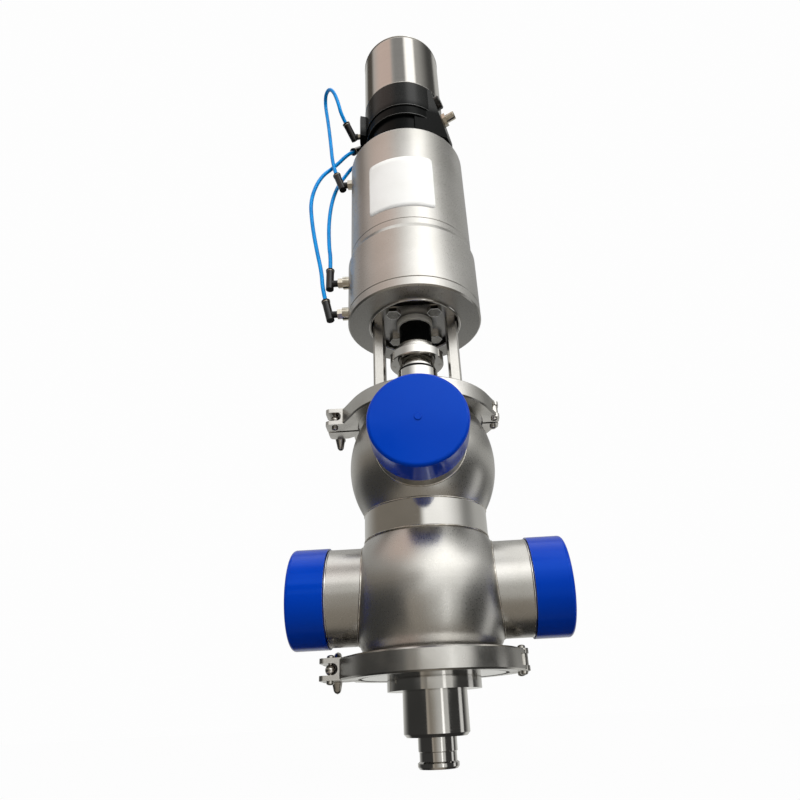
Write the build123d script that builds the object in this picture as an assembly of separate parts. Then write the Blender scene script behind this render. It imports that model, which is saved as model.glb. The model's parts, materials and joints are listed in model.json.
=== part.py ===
from build123d import *
import math
import os

# Mixproof (double seat) valve for 4 inch dairy tube, millimetres.
# Z runs up the valve axis from the bottom face of the leak outlet. The lower
# pipe run is along X and the upper pipe run along Y.

# Pipe connections
TUBE_OD = 101.6
TUBE_WALL = 2.0
LOWER_PORT_Z = 164.0
PORT_SPACING = 147.0
UPPER_PORT_Z = LOWER_PORT_Z + PORT_SPACING
LOWER_TUBE_END = 145.9
UPPER_TUBE_END = 133.9
TUBE_R = TUBE_OD / 2
TUBE_BORE_R = TUBE_R - TUBE_WALL

# Clearances
RUN_GAP = 0.06
SOFT_GAP = 0.3
LOOSE_GAP = 0.4
FACE_GAP = 0.04

# Transport caps
CAP_WALL = 1.5
CAP_LENGTH = 42.0
CAP_RIM_FILLET = 4.0
CAP_DOME = 1.5
CAP_NUB_R = 4.0
CAP_NUB_H = 1.0

# Housings
HOUSING_WALL = 4.0
NECK_R_OUT = 68.7
SEAT_RING_R = 69.7
SEAT_RING_Z0 = LOWER_PORT_Z + 55.6
SEAT_RING_Z1 = UPPER_PORT_Z - 60.8
SEAT_R = 53.0
SEAT_LENGTH = 22.0
BALL_R = 86.0
BALL_FOOT_R = 68.7

# Clamped joints between housings and bonnets
LOWER_JOINT_Z = 91.25
UPPER_JOINT_Z = UPPER_PORT_Z + 63.8
GASKET_H = 2.0
FLANGE_R = 84.5
FLANGE_RIM_H = 4.0
FLANGE_ROOT_R = 76.3
FLANGE_SLOPE = math.tan(math.radians(20))
FLANGE_ROOT_H = FLANGE_RIM_H + (FLANGE_R - FLANGE_ROOT_R) * FLANGE_SLOPE
GASKET_R = 80.0

# Band clamps
CLAMP_R = 91.4
CLAMP_H = 21.1
CLAMP_LIP_R = 77.6
CLAMP_GROOVE_R = FLANGE_R + 1.4
CLAMP_SPLIT = 4.0
CLAMP_EDGE = 1.6
EAR_Y = 16.0
EAR_FLARE_IN = 17.5
EAR_DEPTH_Y = 22.0
BOLT_PIN_X = -105.0
HINGE_PIN_X = 91.0
PIN_Y = 11.0
EAR_TIP = 10.5
EAR_FILLET = 5.0
HINGE_EAR_TIP = 6.5
HINGE_EAR_Y = 17.5
HINGE_SLOT_X = 88.5
FORK_SLOT_H = 11.2
FORK_SLOT_ROOT = 9.0
EYE_R = 5.5
EYE_H = FORK_SLOT_H - 2 * SOFT_GAP
PIN_R = 2.5
PIN_HEAD_R = 4.0
PIN_HEAD_H = 2.0
EYEBOLT_R = 4.0
EYEBOLT_LENGTH = 62.0
NUT_SEAT_R = 35.0
NUT_HUB_R = 8.0
NUT_HUB_H = 12.0
WING_SPAN = 19.5
WING_T = 3.5

# Lower bonnet, bush and shaft
HUB_R = 48.2
HUB_Z0 = 68.0
SLEEVE_R = 32.9
SLEEVE_Z0 = 27.0
SLEEVE_BORE_R = 27.5
SLEEVE_EDGE = 3.0
LOWER_PLATE_R = 74.0
LOWER_PLATE_Z0 = 81.0
BUSH_R = 31.0
LOWER_BUSH_Z0 = 62.0
LOWER_SEAL_Z0 = 80.0
SHAFT_R = 26.0
SHAFT_Z0 = 30.0
OUTLET_R = 19.2
OUTLET_NECK_R = 18.25
OUTLET_NECK_Z = 14.0
OUTLET_BEAD_R = 20.2
OUTLET_BEAD_H = 6.4
OUTLET_BORE_R = 15.5
SHAFT_BORE_R = 21.0

# Plugs
LOWER_PLUG_TOP = SEAT_RING_Z1 - 7.2
LOWER_PLUG_RIM = 14.0
LOWER_PLUG_NECK = 48.0
LOWER_PLUG_CONE = 32.0
PLUG_R = SEAT_R - 0.5
PLUG_SEAL_H = 5.0
PLUG_SEAL_DEPTH = 4.0
LEAK_CAVITY = 7.5
UPPER_PLUG_Z0 = LOWER_PLUG_TOP + LEAK_CAVITY
UPPER_PLUG_R = SEAT_R + 5.0
UPPER_PLUG_H = 11.5
UPPER_CONE_TOP = UPPER_PORT_Z - 11.0
STEM_R = 16.0
ROD_R = 9.0
RIB_T = 6.0
RIB_H = 16.0
ROD_HUB_R = 14.0

# Upper bonnet
NECK_R = 26.0
NECK_TOP = UPPER_JOINT_Z + 66.2
NECK_RING_R = 23.5
NECK_RING_TOP = NECK_TOP + 7.0
UPPER_BUSH_R = 20.0
UPPER_BUSH_H = 24.0
STEM_SEAL_H = 8.0
UPPER_PLATE_R = 72.0
UPPER_PLATE_H = 9.0

# Stem coupling and rod sleeve
COUPLING_Z0 = NECK_RING_TOP + 5.0
COUPLING_R = 35.0
COUPLING_H = 13.0
COUPLING_RING_R = 27.0
COUPLING_RING_H = 12.0
COUPLING_SCREW_R = 3.0
COUPLING_SCREW_HEAD_R = 5.0
COUPLING_SCREW_X = 30.0
STEM_TOP = COUPLING_Z0 + 17.0
ROD_SLEEVE_R = 21.5

# Yoke
YOKE_BASE_R = 66.0
YOKE_BASE_H = 10.0
YOKE_BORE_R = 30.0
LEG_X0 = 41.0
LEG_X1 = 56.5
LEG_W = 24.0
LEG_BEVEL = 2.5
YOKE_PLATE_H = 10.0
YOKE_PLATE_X = 54.0
YOKE_PLATE_Y = 42.0
YOKE_PLATE_CORNER = 20.0
YOKE_BOLT_X = 27.0
YOKE_BOLT_Y = 32.0
YOKE_BOLT_R = 5.0
YOKE_BOLT_AF = 17.0
YOKE_BOLT_HEAD_H = 7.0
BASE_SCREW_PCD = 106.0
BASE_SCREW_HEAD_R = 6.5
BASE_SCREW_HEAD_H = 8.0
BASE_SCREW_R = 4.0

# Actuator
ACT_Z0 = COUPLING_Z0 + 62.0
ACT_R = 90.3
ACT_BORE_R = 82.0
ACT_GROOVE_Z = ACT_Z0 + 14.0
ACT_STEP_Z = ACT_Z0 + 116.0
ACT_STEP_BAND = 10.0
ACT_CONE_H = 9.0
ACT_UPPER_R = 86.6
ACT_SEAM = 0.6
ACT_TOP = ACT_Z0 + 293.0
RECESS_R = 59.5
RECESS_DEPTH = 15.0
RECESS_RIM_W = 2.5
RECESS_RIM_H = 1.0
SPIGOT_TOP = ACT_Z0 + 25.0
GUIDE_R = 24.0
GUIDE_Z0 = ACT_Z0 - 4.0
TOP_PLATE_H = 14.0
TOP_EDGE = 3.0
PISTON_Z0 = ACT_Z0 + 85.0
PISTON_H = 14.0
PISTON_SEAL_H = 6.0
PARTITION_Z0 = ACT_Z0 + 197.0
PARTITION_H = 8.0
ROD_TUBE_TOP = PARTITION_Z0 - 12.0
PUSH_PISTON_Z0 = PARTITION_Z0 + 16.0
PUSH_PISTON_H = 12.0
SPRING_WIRE = 10.0
SPRING_R = 60.0
SPRING_TURNS = 4.0
PLUG_SPRING_WIRE = 2.6
PLUG_SPRING_R = 13.0
PLUG_SPRING_TURNS = 5.0

# Air fittings: heights of the ports and the outward reach of their elbows
BOSS_R = 9.0
BOSS_END_X = 99.0
NUT_AF = 13.0
NUT_T = 7.0
ELBOW_R = 5.6
ELBOW_RISE = 21.0
ELBOW_DROP = 10.0
COLLAR_R = 5.0
COLLAR_H = 4.0
HOSE_R = 3.0
PORT_LOW_Z = ACT_Z0 + 29.0
PORT_MID_Z = ACT_Z0 + 83.0
PORT_TOP_Z = ACT_TOP - 15.0
LOW_ELBOW_X = 118.0
TOP_ELBOW_X = 104.0

# Control head
HEAD_R = 62.5
HEAD_UPPER_R = 64.0
HEAD_FOOT_R = 58.0
HEAD_LIP_Z = ACT_TOP + 63.0
HEAD_BAND_Z = ACT_TOP + 82.0
HEAD_GROOVE = 1.2
HEAD_RIM_Z = ACT_TOP + 137.0
HEAD_CAP_H = 125.0
HEAD_TOP = HEAD_RIM_Z + HEAD_CAP_H
HEAD_FLOOR_Z = ACT_TOP + 72.0
HEAD_WALL = 4.0
HEAD_SPIGOT_H = 12.0
HEAD_CAP_WALL = 1.5
HEAD_CAP_EDGE = 6.0
HEAD_SEAL_H = 3.0
LUG_Y0 = -24.0
LUG_Y1 = 12.0
LUG_FLARE = 1.0
LUG_ROOT_X = 40.0
LUG_TOP_X = 61.5
LUG_FOOT_X = 77.0
LUG_FOOT_Z = ACT_TOP + 38.0
LUG_FOOT_H = 8.0
LUG_AZIMUTH = -24.0
# Connector and vent on the lug's face: share of the way down, and across it
LUG_PLACES = ((0.54, 0.0), (0.18, -9.0))
SOCKET_R = 6.2
SOCKET_L = 20.0
SOCKET_NUT_AF = 18.0
SOCKET_NUT_T = 6.0
SOCKET_BORE_L = 40.0
VENT_R = 11.0
VENT_L = 8.0
PILOT_X = -50.0
PILOT_W = 16.0
PILOT_D = 26.0
PILOT_H = 34.0
PILOT_PITCH = 18.0
BOARD_X = 30.0
BOARD_T = 1.6
BOARD_W = 70.0
BOARD_H = 90.0
POST_GAP = 2.0
POST_T = 8.0
POST_W = 20.0
ROD_TOP = HEAD_FLOOR_Z + 45.0
TARGET_R = 12.0
TARGET_H = 8.0
AIR_PAD_R = 73.5
AIR_PAD_H = 46.0
AIR_PAD_Z = ACT_TOP + 98.0
AIR_PAD_START = 112.0
AIR_PAD_END = 196.0
# Azimuth of each air port on the head and its height above the pad's middle
HEAD_PORTS = ((180.0, -2.0), (158.0, 6.0), (130.0, 0.0))
HEAD_NUT_AF = 8.0
HEAD_NUT_T = 3.5
HEAD_ELBOW_DROP = 6.0
HEAD_ELBOW_REACH = 12.0

# Air hoses, each a list of route points chosen by hand, with their heights
# above the actuator's bottom
HOSE_TOP = [(-122.9, -1, 380), (-129.6, 4, 439.8), (-134.3, 1.5, 475.7), (-131.5, -13.7, 484.9),
            (-122, -27.8, 479.5), (-113.5, -30.6, 464.1), (-106.2, -27.3, 438.3)]
HOSE_LOW = [(-130.5, 0, 105), (-140, -1, 153), (-147.5, -3, 201), (-151.5, -3, 250), (-138.9, 4, 305.3),
            (-115.9, 12, 336.7)]
HOSE_MID = [(-121, 2, 153), (-123.5, 6, 203), (-121, 11, 253), (-113.5, 19, 297), (-103, 32, 335)]
# Straight lengths in line with the collars at each hose's two ends
HOSE_TOP_ENDS = (22.0, 17.0)
HOSE_LOW_ENDS = (22.0, 20.0)
HOSE_MID_ENDS = (24.0, 24.0)

PARTS_DIR = "parts"


def turned(*points):
    """Solid of revolution about Z through (radius, height) points."""
    return revolve(Plane.XZ * make_face(Polyline(*points, close=True)), Axis.Z)


def ring(r_out, r_in, z0, z1):
    """Plain ring or disc about Z."""
    if r_in <= 0:
        return turned((0, z0), (r_out, z0), (r_out, z1), (0, z1))
    return turned((r_in, z0), (r_out, z0), (r_out, z1), (r_in, z1))


def crown(r, z, rise):
    """Arc of a shallow dome from radius r at height z to the axis."""
    dome_r = (r ** 2 + rise ** 2) / (2 * rise)
    half = math.asin(r / dome_r) / 2
    middle = (dome_r * math.sin(half), z + rise - dome_r * (1 - math.cos(half)))
    return ThreePointArc((r, z), middle, (0, z + rise))


def rod(start, end, radius):
    """Round bar from one point to another."""
    axis = Vector(*end) - Vector(*start)
    place = Plane(origin=start, z_dir=axis)
    return place * extrude(Circle(radius), axis.length)


def hexagon(across_flats, start, end):
    """Hexagonal bar from one point to another."""
    axis = Vector(*end) - Vector(*start)
    place = Plane(origin=start, z_dir=axis)
    return place * extrude(RegularPolygon(across_flats / 2, 6, major_radius=False), axis.length)


def block(x0, x1, y0, y1, z0, z1):
    """Box from its corner coordinates."""
    size = Box(x1 - x0, y1 - y0, z1 - z0)
    return Pos((x0 + x1) / 2, (y0 + y1) / 2, (z0 + z1) / 2) * size


def ferrule(face_z, side, root_r, bore_r):
    """Half of a clamped joint: side is 1 above the gasket and -1 below it."""
    rim = face_z + side * FLANGE_RIM_H
    root = face_z + side * FLANGE_ROOT_H
    return turned((bore_r, face_z), (FLANGE_R, face_z), (FLANGE_R, rim), (FLANGE_ROOT_R, root),
                  (root_r, root), (bore_r, root))


# Housings

def bulge(foot, waist, neck):
    """Bulging shell side turned about Z through three (radius, height) points."""
    side = ThreePointArc(foot, waist, neck)
    rest = Polyline(neck, (0, neck[1]), (0, foot[1]), foot)
    return revolve(Plane.XZ * make_face([*side.edges(), *rest.edges()]), Axis.Z)


def housing(seat_z, port_z, face_z, side, tube_end, run):
    """Ball housing with two port tubes: side is 1 where its flange is on top."""
    root = face_z - side * FLANGE_ROOT_H
    wall = HOUSING_WALL
    outer = bulge((BALL_FOOT_R, seat_z), (BALL_R, port_z), (NECK_R_OUT, root))
    outer += ferrule(face_z, -side, NECK_R_OUT, NECK_R_OUT - 2 * wall)
    inner = bulge((BALL_FOOT_R - wall, seat_z), (BALL_R - wall, port_z), (NECK_R_OUT - wall, root))
    inner += ring(NECK_R_OUT - wall, 0, min(root, face_z), max(root, face_z))
    x, y = run
    low = (-x * tube_end, -y * tube_end, port_z)
    high = (x * tube_end, y * tube_end, port_z)
    return outer + rod(low, high, TUBE_R) - inner - rod(low, high, TUBE_BORE_R)


def lower_housing():
    return housing(SEAT_RING_Z0, LOWER_PORT_Z, LOWER_JOINT_Z + GASKET_H / 2, -1, LOWER_TUBE_END, (1, 0))


def upper_housing():
    return housing(SEAT_RING_Z1, UPPER_PORT_Z, UPPER_JOINT_Z - GASKET_H / 2, 1, UPPER_TUBE_END, (0, 1))


def seat_ring():
    seat_z0 = SEAT_RING_Z1 - SEAT_LENGTH
    return turned((BALL_FOOT_R - HOUSING_WALL, SEAT_RING_Z0), (SEAT_RING_R, SEAT_RING_Z0),
                  (SEAT_RING_R, SEAT_RING_Z1), (SEAT_R, SEAT_RING_Z1), (SEAT_R, seat_z0))


def gasket(joint_z):
    return ring(GASKET_R, NECK_R_OUT - HOUSING_WALL, joint_z - GASKET_H / 2, joint_z + GASKET_H / 2)


def transport_cap():
    """Push-on cap along Z: its open end at z = 0 and its face up."""
    r_out = TUBE_R + LOOSE_GAP + CAP_WALL
    r_in = TUBE_R + LOOSE_GAP
    rim_z = CAP_LENGTH - CAP_DOME - CAP_NUB_H
    floor_z = rim_z - CAP_WALL
    corner = ThreePointArc((r_out, rim_z - CAP_RIM_FILLET),
                           (r_out - 0.29 * CAP_RIM_FILLET, rim_z - 0.29 * CAP_RIM_FILLET),
                           (r_out - CAP_RIM_FILLET, rim_z))
    dome = crown(r_out - CAP_RIM_FILLET, rim_z, CAP_DOME)
    inside = Polyline((0, rim_z + CAP_DOME), (0, floor_z), (r_in, floor_z), (r_in, 0), (r_out, 0),
                      (r_out, rim_z - CAP_RIM_FILLET))
    cup = revolve(Plane.XZ * make_face([*corner.edges(), *dome.edges(), *inside.edges()]), Axis.Z)
    top = rim_z + CAP_DOME + CAP_NUB_H
    nub = turned((0, rim_z), (CAP_NUB_R, rim_z), (CAP_NUB_R, top - 0.6), (CAP_NUB_R - 0.6, top), (0, top))
    return cup + nub


def placed_cap(direction, port_z, tube_end):
    """Cap pushed over a tube end that faces along direction."""
    floor_z = CAP_LENGTH - CAP_DOME - CAP_NUB_H - CAP_WALL
    start = tube_end + SOFT_GAP - floor_z
    x, y = direction
    place = Plane(origin=(x * start, y * start, port_z), z_dir=(x, y, 0))
    return place * transport_cap()


# Band clamps

def clamp_plan():
    """Outline of both clamp halves seen from above, ears included."""
    band = Circle(CLAMP_R)
    bolt_tip = BOLT_PIN_X - EAR_TIP
    hinge_tip = HINGE_PIN_X + HINGE_EAR_TIP
    root_x0 = bolt_tip + EAR_FLARE_IN
    root_x1 = hinge_tip - HINGE_EAR_TIP / 2
    roots = Pos((root_x0 + root_x1) / 2, 0) * Rectangle(root_x1 - root_x0, 2 * EAR_Y)
    flared = make_hull([*band.edges(), *roots.edges()])
    bolt_ear = Pos(bolt_tip / 2, 0) * Rectangle(-bolt_tip, 2 * EAR_DEPTH_Y)
    hinge_ear = Pos(hinge_tip / 2, 0) * Rectangle(hinge_tip, 2 * HINGE_EAR_Y)
    for ear in (bolt_ear, hinge_ear):
        flared += fillet(ear.vertices(), EAR_FILLET)
    return flared


def clamp_groove():
    """V groove that pulls the two flanges together."""
    slack = 0.4
    half = GASKET_H / 2 + FLANGE_RIM_H + slack
    lip_half = half + (FLANGE_R - CLAMP_LIP_R) * FLANGE_SLOPE
    floor_half = half - (CLAMP_GROOVE_R - FLANGE_R) * FLANGE_SLOPE
    outer = CLAMP_H
    return turned((0, -outer), (CLAMP_LIP_R, -outer), (CLAMP_LIP_R, -lip_half),
                  (CLAMP_GROOVE_R, -floor_half), (CLAMP_GROOVE_R, floor_half),
                  (CLAMP_LIP_R, lip_half), (CLAMP_LIP_R, outer), (0, outer))


def clamp_half(side, joint_z):
    """One clamp half: side is -1 for the front and 1 for the rear."""
    half_h = CLAMP_H / 2
    solid = Pos(0, 0, -half_h) * extrude(clamp_plan(), CLAMP_H)
    rims = solid.edges().filter_by(GeomType.CIRCLE).filter_by(lambda e: e.radius > CLAMP_R - 1)
    solid = chamfer(rims, CLAMP_EDGE)
    solid -= clamp_groove()
    reach = 2 * CLAMP_R
    keep = block(-reach, reach, CLAMP_SPLIT / 2, reach, -CLAMP_H, CLAMP_H)
    solid = solid & (keep if side > 0 else mirror(keep, Plane.XZ))
    slot = FORK_SLOT_H / 2
    solid -= block(-reach, BOLT_PIN_X + FORK_SLOT_ROOT, -reach, reach, -slot, slot)
    solid -= block(HINGE_SLOT_X, reach, -reach, reach, -slot, slot)
    solid -= Pos(0, 0, -slot) * extrude(link_plan(2 * SOFT_GAP), FORK_SLOT_H)
    hinge_r = PIN_R + (RUN_GAP if side < 0 else 0)
    solid -= rod((HINGE_PIN_X, side * PIN_Y, -CLAMP_H), (HINGE_PIN_X, side * PIN_Y, CLAMP_H), hinge_r)
    if side < 0:
        solid -= rod((BOLT_PIN_X, -PIN_Y, -CLAMP_H), (BOLT_PIN_X, -PIN_Y, CLAMP_H), PIN_R)
    else:
        swing = Pos(BOLT_PIN_X, -PIN_Y, 0) * Cylinder(NUT_SEAT_R, 2 * CLAMP_H)
        ear_box = block(-reach, BOLT_PIN_X + 2 * EAR_TIP - 1, 0, reach, -CLAMP_H, CLAMP_H)
        solid -= ear_box - swing
    return Pos(0, 0, joint_z) * solid


def clamp_pin(x, y, joint_z):
    """Headed pin through both prongs of a fork."""
    prong = CLAMP_H / 2
    pin = rod((x, y, -prong), (x, y, prong), PIN_R)
    pin += rod((x, y, prong), (x, y, prong + PIN_HEAD_H), PIN_HEAD_R)
    pin += rod((x, y, -prong - PIN_HEAD_H), (x, y, -prong), PIN_HEAD_R)
    return Pos(0, 0, joint_z) * pin


def link_plan(room):
    """Outline of the hinge link, widened all round by some room."""
    return Pos(HINGE_PIN_X, 0) * SlotCenterToCenter(2 * PIN_Y, 2 * (EYE_R + room), rotation=90)


def hinge_link(joint_z):
    """Flat link between the two hinge pins."""
    link = Pos(0, 0, -EYE_H / 2) * extrude(link_plan(0), EYE_H)
    for y in (-PIN_Y, PIN_Y):
        link -= rod((HINGE_PIN_X, y, -CLAMP_H), (HINGE_PIN_X, y, CLAMP_H), PIN_R)
    return Pos(0, 0, joint_z) * link


def eyebolt(joint_z):
    eye = Cylinder(EYE_R, EYE_H)
    shank = rod((0, 0, 0), (0, EYEBOLT_LENGTH, 0), EYEBOLT_R)
    bolt = eye + shank - Cylinder(PIN_R + RUN_GAP, CLAMP_H)
    return Pos(BOLT_PIN_X, -PIN_Y, joint_z) * bolt


def wing_nut(joint_z):
    y0 = NUT_SEAT_R + SOFT_GAP
    y1 = y0 + NUT_HUB_H
    hub = rod((0, y0, 0), (0, y1, 0), NUT_HUB_R)
    lean = 5.0
    wing = Polyline((y0 + 2, 0), (y0 + lean, WING_SPAN - 3), (y0 + lean + 3, WING_SPAN),
                    (y1 + lean, WING_SPAN - 4), (y1 - 1, 0), close=True)
    wing = extrude(Plane.YZ * make_face(wing), WING_T / 2, both=True)
    nut = hub + wing + mirror(wing, Plane.XY)
    nut -= rod((0, y0 - 1, 0), (0, y1 + 1, 0), EYEBOLT_R + RUN_GAP)
    return Pos(BOLT_PIN_X, -PIN_Y, joint_z) * nut


# Lower bonnet and its shaft

def lower_bonnet():
    face = LOWER_JOINT_Z - GASKET_H / 2
    plate = ring(LOWER_PLATE_R, BUSH_R, LOWER_PLATE_Z0, face)
    hub = ring(HUB_R, BUSH_R, HUB_Z0, LOWER_PLATE_Z0)
    sleeve = turned((SLEEVE_BORE_R, SLEEVE_Z0), (SLEEVE_R - SLEEVE_EDGE, SLEEVE_Z0),
                    (SLEEVE_R, SLEEVE_Z0 + SLEEVE_EDGE), (SLEEVE_R, HUB_Z0), (BUSH_R, HUB_Z0),
                    (BUSH_R, LOWER_BUSH_Z0), (SLEEVE_BORE_R, LOWER_BUSH_Z0))
    return ferrule(face, -1, LOWER_PLATE_R, BUSH_R + 2) + plate + hub + sleeve


def lower_plug():
    """Hollow lower plug, shaft and leak outlet in one piece."""
    top = LOWER_PLUG_TOP
    dish = 4.0
    body = turned((OUTLET_BORE_R, 0), (OUTLET_BEAD_R - 1.5, 0), (OUTLET_BEAD_R, 2),
                  (OUTLET_BEAD_R, OUTLET_BEAD_H - 1.5), (OUTLET_NECK_R, OUTLET_BEAD_H),
                  (OUTLET_NECK_R, OUTLET_NECK_Z), (OUTLET_R, OUTLET_NECK_Z + 0.8),
                  (OUTLET_R, SHAFT_Z0), (SHAFT_R, SHAFT_Z0 + 2),
                  (SHAFT_R, top - LOWER_PLUG_NECK), (SHAFT_R + 5, top - LOWER_PLUG_CONE),
                  (PLUG_R, top - LOWER_PLUG_RIM), (PLUG_R, top), (PLUG_R - dish, top),
                  (SHAFT_BORE_R, top - 2 * dish), (SHAFT_BORE_R, SHAFT_Z0 + 8),
                  (OUTLET_BORE_R, SHAFT_Z0))
    groove_z = top - PLUG_SEAL_H - 3
    body -= ring(SEAT_R + 1, PLUG_R - PLUG_SEAL_DEPTH, groove_z, groove_z + PLUG_SEAL_H)
    rib_z = top - 2 * dish - RIB_H
    reach = 2 * SHAFT_BORE_R + 2
    ribs = block(-reach / 2, reach / 2, -RIB_T / 2, RIB_T / 2, rib_z, rib_z + RIB_H)
    ribs += block(-RIB_T / 2, RIB_T / 2, -reach / 2, reach / 2, rib_z, rib_z + RIB_H)
    hub = ring(ROD_HUB_R, 0, rib_z, rib_z + RIB_H)
    return body + ribs + hub - ring(ROD_R, 0, rib_z, rib_z + RIB_H)


def lower_plug_seal():
    groove_z = LOWER_PLUG_TOP - PLUG_SEAL_H - 3
    return ring(SEAT_R - RUN_GAP, PLUG_R - PLUG_SEAL_DEPTH, groove_z, groove_z + PLUG_SEAL_H)


def lower_rod():
    """Rod of the lower plug, with the target that the position sensor reads."""
    rib_z = LOWER_PLUG_TOP - 8 - RIB_H
    return ring(ROD_R, 0, rib_z, ROD_TOP) + ring(TARGET_R, 0, ROD_TOP - TARGET_H - 2, ROD_TOP - 2)


# Upper plug, stem and coupling

def upper_plug():
    z0 = UPPER_PLUG_Z0
    rim = z0 + UPPER_PLUG_H
    body = turned((ROD_R + RUN_GAP, z0), (UPPER_PLUG_R, z0), (UPPER_PLUG_R, rim - 2),
                  (UPPER_PLUG_R - 3, rim), (STEM_R + 8, UPPER_CONE_TOP - 20),
                  (STEM_R, UPPER_CONE_TOP), (STEM_R, STEM_TOP), (ROD_R + RUN_GAP, STEM_TOP))
    return body - ring(SEAT_R + 4.5, SEAT_R + 0.5, z0, z0 + PLUG_SEAL_DEPTH)


def upper_plug_seal():
    return ring(SEAT_R + 4.5, SEAT_R + 0.5, UPPER_PLUG_Z0 - 0.2, UPPER_PLUG_Z0 + PLUG_SEAL_DEPTH)


def upper_bonnet():
    face = UPPER_JOINT_Z + GASKET_H / 2
    plate = ring(UPPER_PLATE_R, UPPER_BUSH_R, face, face + UPPER_PLATE_H)
    neck = turned((UPPER_BUSH_R, face), (NECK_R, face), (NECK_R, NECK_TOP - 2), (NECK_R - 2, NECK_TOP),
                  (NECK_RING_R, NECK_TOP), (NECK_RING_R, NECK_RING_TOP),
                  (UPPER_BUSH_R, NECK_RING_TOP))
    return ferrule(face, 1, UPPER_PLATE_R, UPPER_BUSH_R + 2) + plate + neck


def guide_bushes():
    lower = ring(BUSH_R, SHAFT_R + RUN_GAP, LOWER_BUSH_Z0, LOWER_SEAL_Z0)
    upper = ring(UPPER_BUSH_R, STEM_R + RUN_GAP, NECK_RING_TOP - UPPER_BUSH_H, NECK_RING_TOP)
    return Compound([lower, upper])


def shaft_seals():
    upper_z = UPPER_JOINT_Z + GASKET_H / 2
    lower = ring(BUSH_R, SHAFT_R + RUN_GAP, LOWER_SEAL_Z0, LOWER_JOINT_Z - GASKET_H / 2)
    upper = ring(UPPER_BUSH_R, STEM_R + RUN_GAP, upper_z, upper_z + STEM_SEAL_H)
    return Compound([lower, upper])


def coupling_flange():
    body = ring(COUPLING_R, STEM_R, COUPLING_Z0, COUPLING_Z0 + COUPLING_H)
    body = chamfer(body.edges().filter_by(GeomType.CIRCLE).filter_by(
        lambda e: e.radius > COUPLING_R - 1), 1.0)
    for x in (-COUPLING_SCREW_X, COUPLING_SCREW_X):
        body -= rod((x, 0, COUPLING_Z0 - 1), (x, 0, COUPLING_Z0 + COUPLING_H + 1), COUPLING_SCREW_R)
    return body


def coupling_screws():
    top = COUPLING_Z0 + COUPLING_H
    group = []
    for x in (-COUPLING_SCREW_X, COUPLING_SCREW_X):
        shank = rod((x, 0, COUPLING_Z0), (x, 0, top), COUPLING_SCREW_R)
        group.append(shank + rod((x, 0, top), (x, 0, top + 5), COUPLING_SCREW_HEAD_R))
    return Compound(group)


def coupling_ring():
    z0 = COUPLING_Z0 + COUPLING_H
    edge = 1.0
    z1 = z0 + COUPLING_RING_H
    body = turned((STEM_R, z0), (COUPLING_RING_R - 3, z0), (COUPLING_RING_R - 3, z0 + 1),
                  (COUPLING_RING_R, z0 + 1), (COUPLING_RING_R, z1 - edge),
                  (COUPLING_RING_R - edge, z1), (STEM_R, z1))
    for x in (-COUPLING_SCREW_X, COUPLING_SCREW_X):
        body -= rod((x, 0, z0 - 1), (x, 0, z0 + 6), COUPLING_SCREW_HEAD_R + 0.5)
    return body


def rod_sleeve():
    return ring(ROD_SLEEVE_R, STEM_R, COUPLING_Z0 + COUPLING_H + COUPLING_RING_H, PISTON_Z0)


def rod_tube():
    return ring(STEM_R, ROD_R + RUN_GAP, STEM_TOP, ROD_TUBE_TOP)


# Yoke

def yoke():
    z0 = UPPER_JOINT_Z + GASKET_H / 2 + UPPER_PLATE_H
    plate_top = ACT_Z0 + RECESS_DEPTH
    base = ring(YOKE_BASE_R, YOKE_BORE_R, z0, z0 + YOKE_BASE_H)
    plan = Rectangle(2 * YOKE_PLATE_X, 2 * YOKE_PLATE_Y)
    plan = chamfer(plan.vertices(), YOKE_PLATE_CORNER) - Circle(GUIDE_R)
    top = Pos(0, 0, plate_top - YOKE_PLATE_H) * extrude(plan, YOKE_PLATE_H)
    leg_h = plate_top - YOKE_PLATE_H - z0 - YOKE_BASE_H
    leg = Pos((LEG_X0 + LEG_X1) / 2, 0) * Rectangle(LEG_X1 - LEG_X0, LEG_W)
    leg = Pos(0, 0, z0 + YOKE_BASE_H) * extrude(chamfer(leg.vertices(), LEG_BEVEL), leg_h)
    body = base + top + leg + mirror(leg, Plane.YZ)
    for x, y in yoke_bolt_places():
        body -= rod((x, y, ACT_Z0 - 10), (x, y, plate_top + 1), YOKE_BOLT_R)
    for x, y in base_screw_places():
        body -= rod((x, y, z0 - 1), (x, y, z0 + YOKE_BASE_H + 1), BASE_SCREW_R)
    return body


def yoke_bolt_places():
    return [(sx * YOKE_BOLT_X, sy * YOKE_BOLT_Y) for sx in (-1, 1) for sy in (-1, 1)]


def base_screw_places():
    at = BASE_SCREW_PCD / 2 * math.sqrt(0.5)
    return [(sx * at, sy * at) for sx in (-1, 1) for sy in (-1, 1)]


def yoke_bolts():
    under = ACT_Z0 + RECESS_DEPTH - YOKE_PLATE_H
    group = []
    for x, y in yoke_bolt_places():
        shank = rod((x, y, under), (x, y, under + YOKE_PLATE_H + 6), YOKE_BOLT_R)
        head = hexagon(YOKE_BOLT_AF, (x, y, under - YOKE_BOLT_HEAD_H), (x, y, under))
        group.append(shank + head)
    return group


def yoke_base_screws():
    z0 = UPPER_JOINT_Z + GASKET_H / 2 + UPPER_PLATE_H
    top = z0 + YOKE_BASE_H
    group = []
    for x, y in base_screw_places():
        shank = rod((x, y, z0), (x, y, top), BASE_SCREW_R)
        head = rod((x, y, top), (x, y, top + BASE_SCREW_HEAD_H), BASE_SCREW_HEAD_R)
        socket = hexagon(BASE_SCREW_R * 1.5, (x, y, top + BASE_SCREW_HEAD_H - 4),
                         (x, y, top + BASE_SCREW_HEAD_H))
        group.append(shank + head - socket)
    return group


# Actuator

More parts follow.
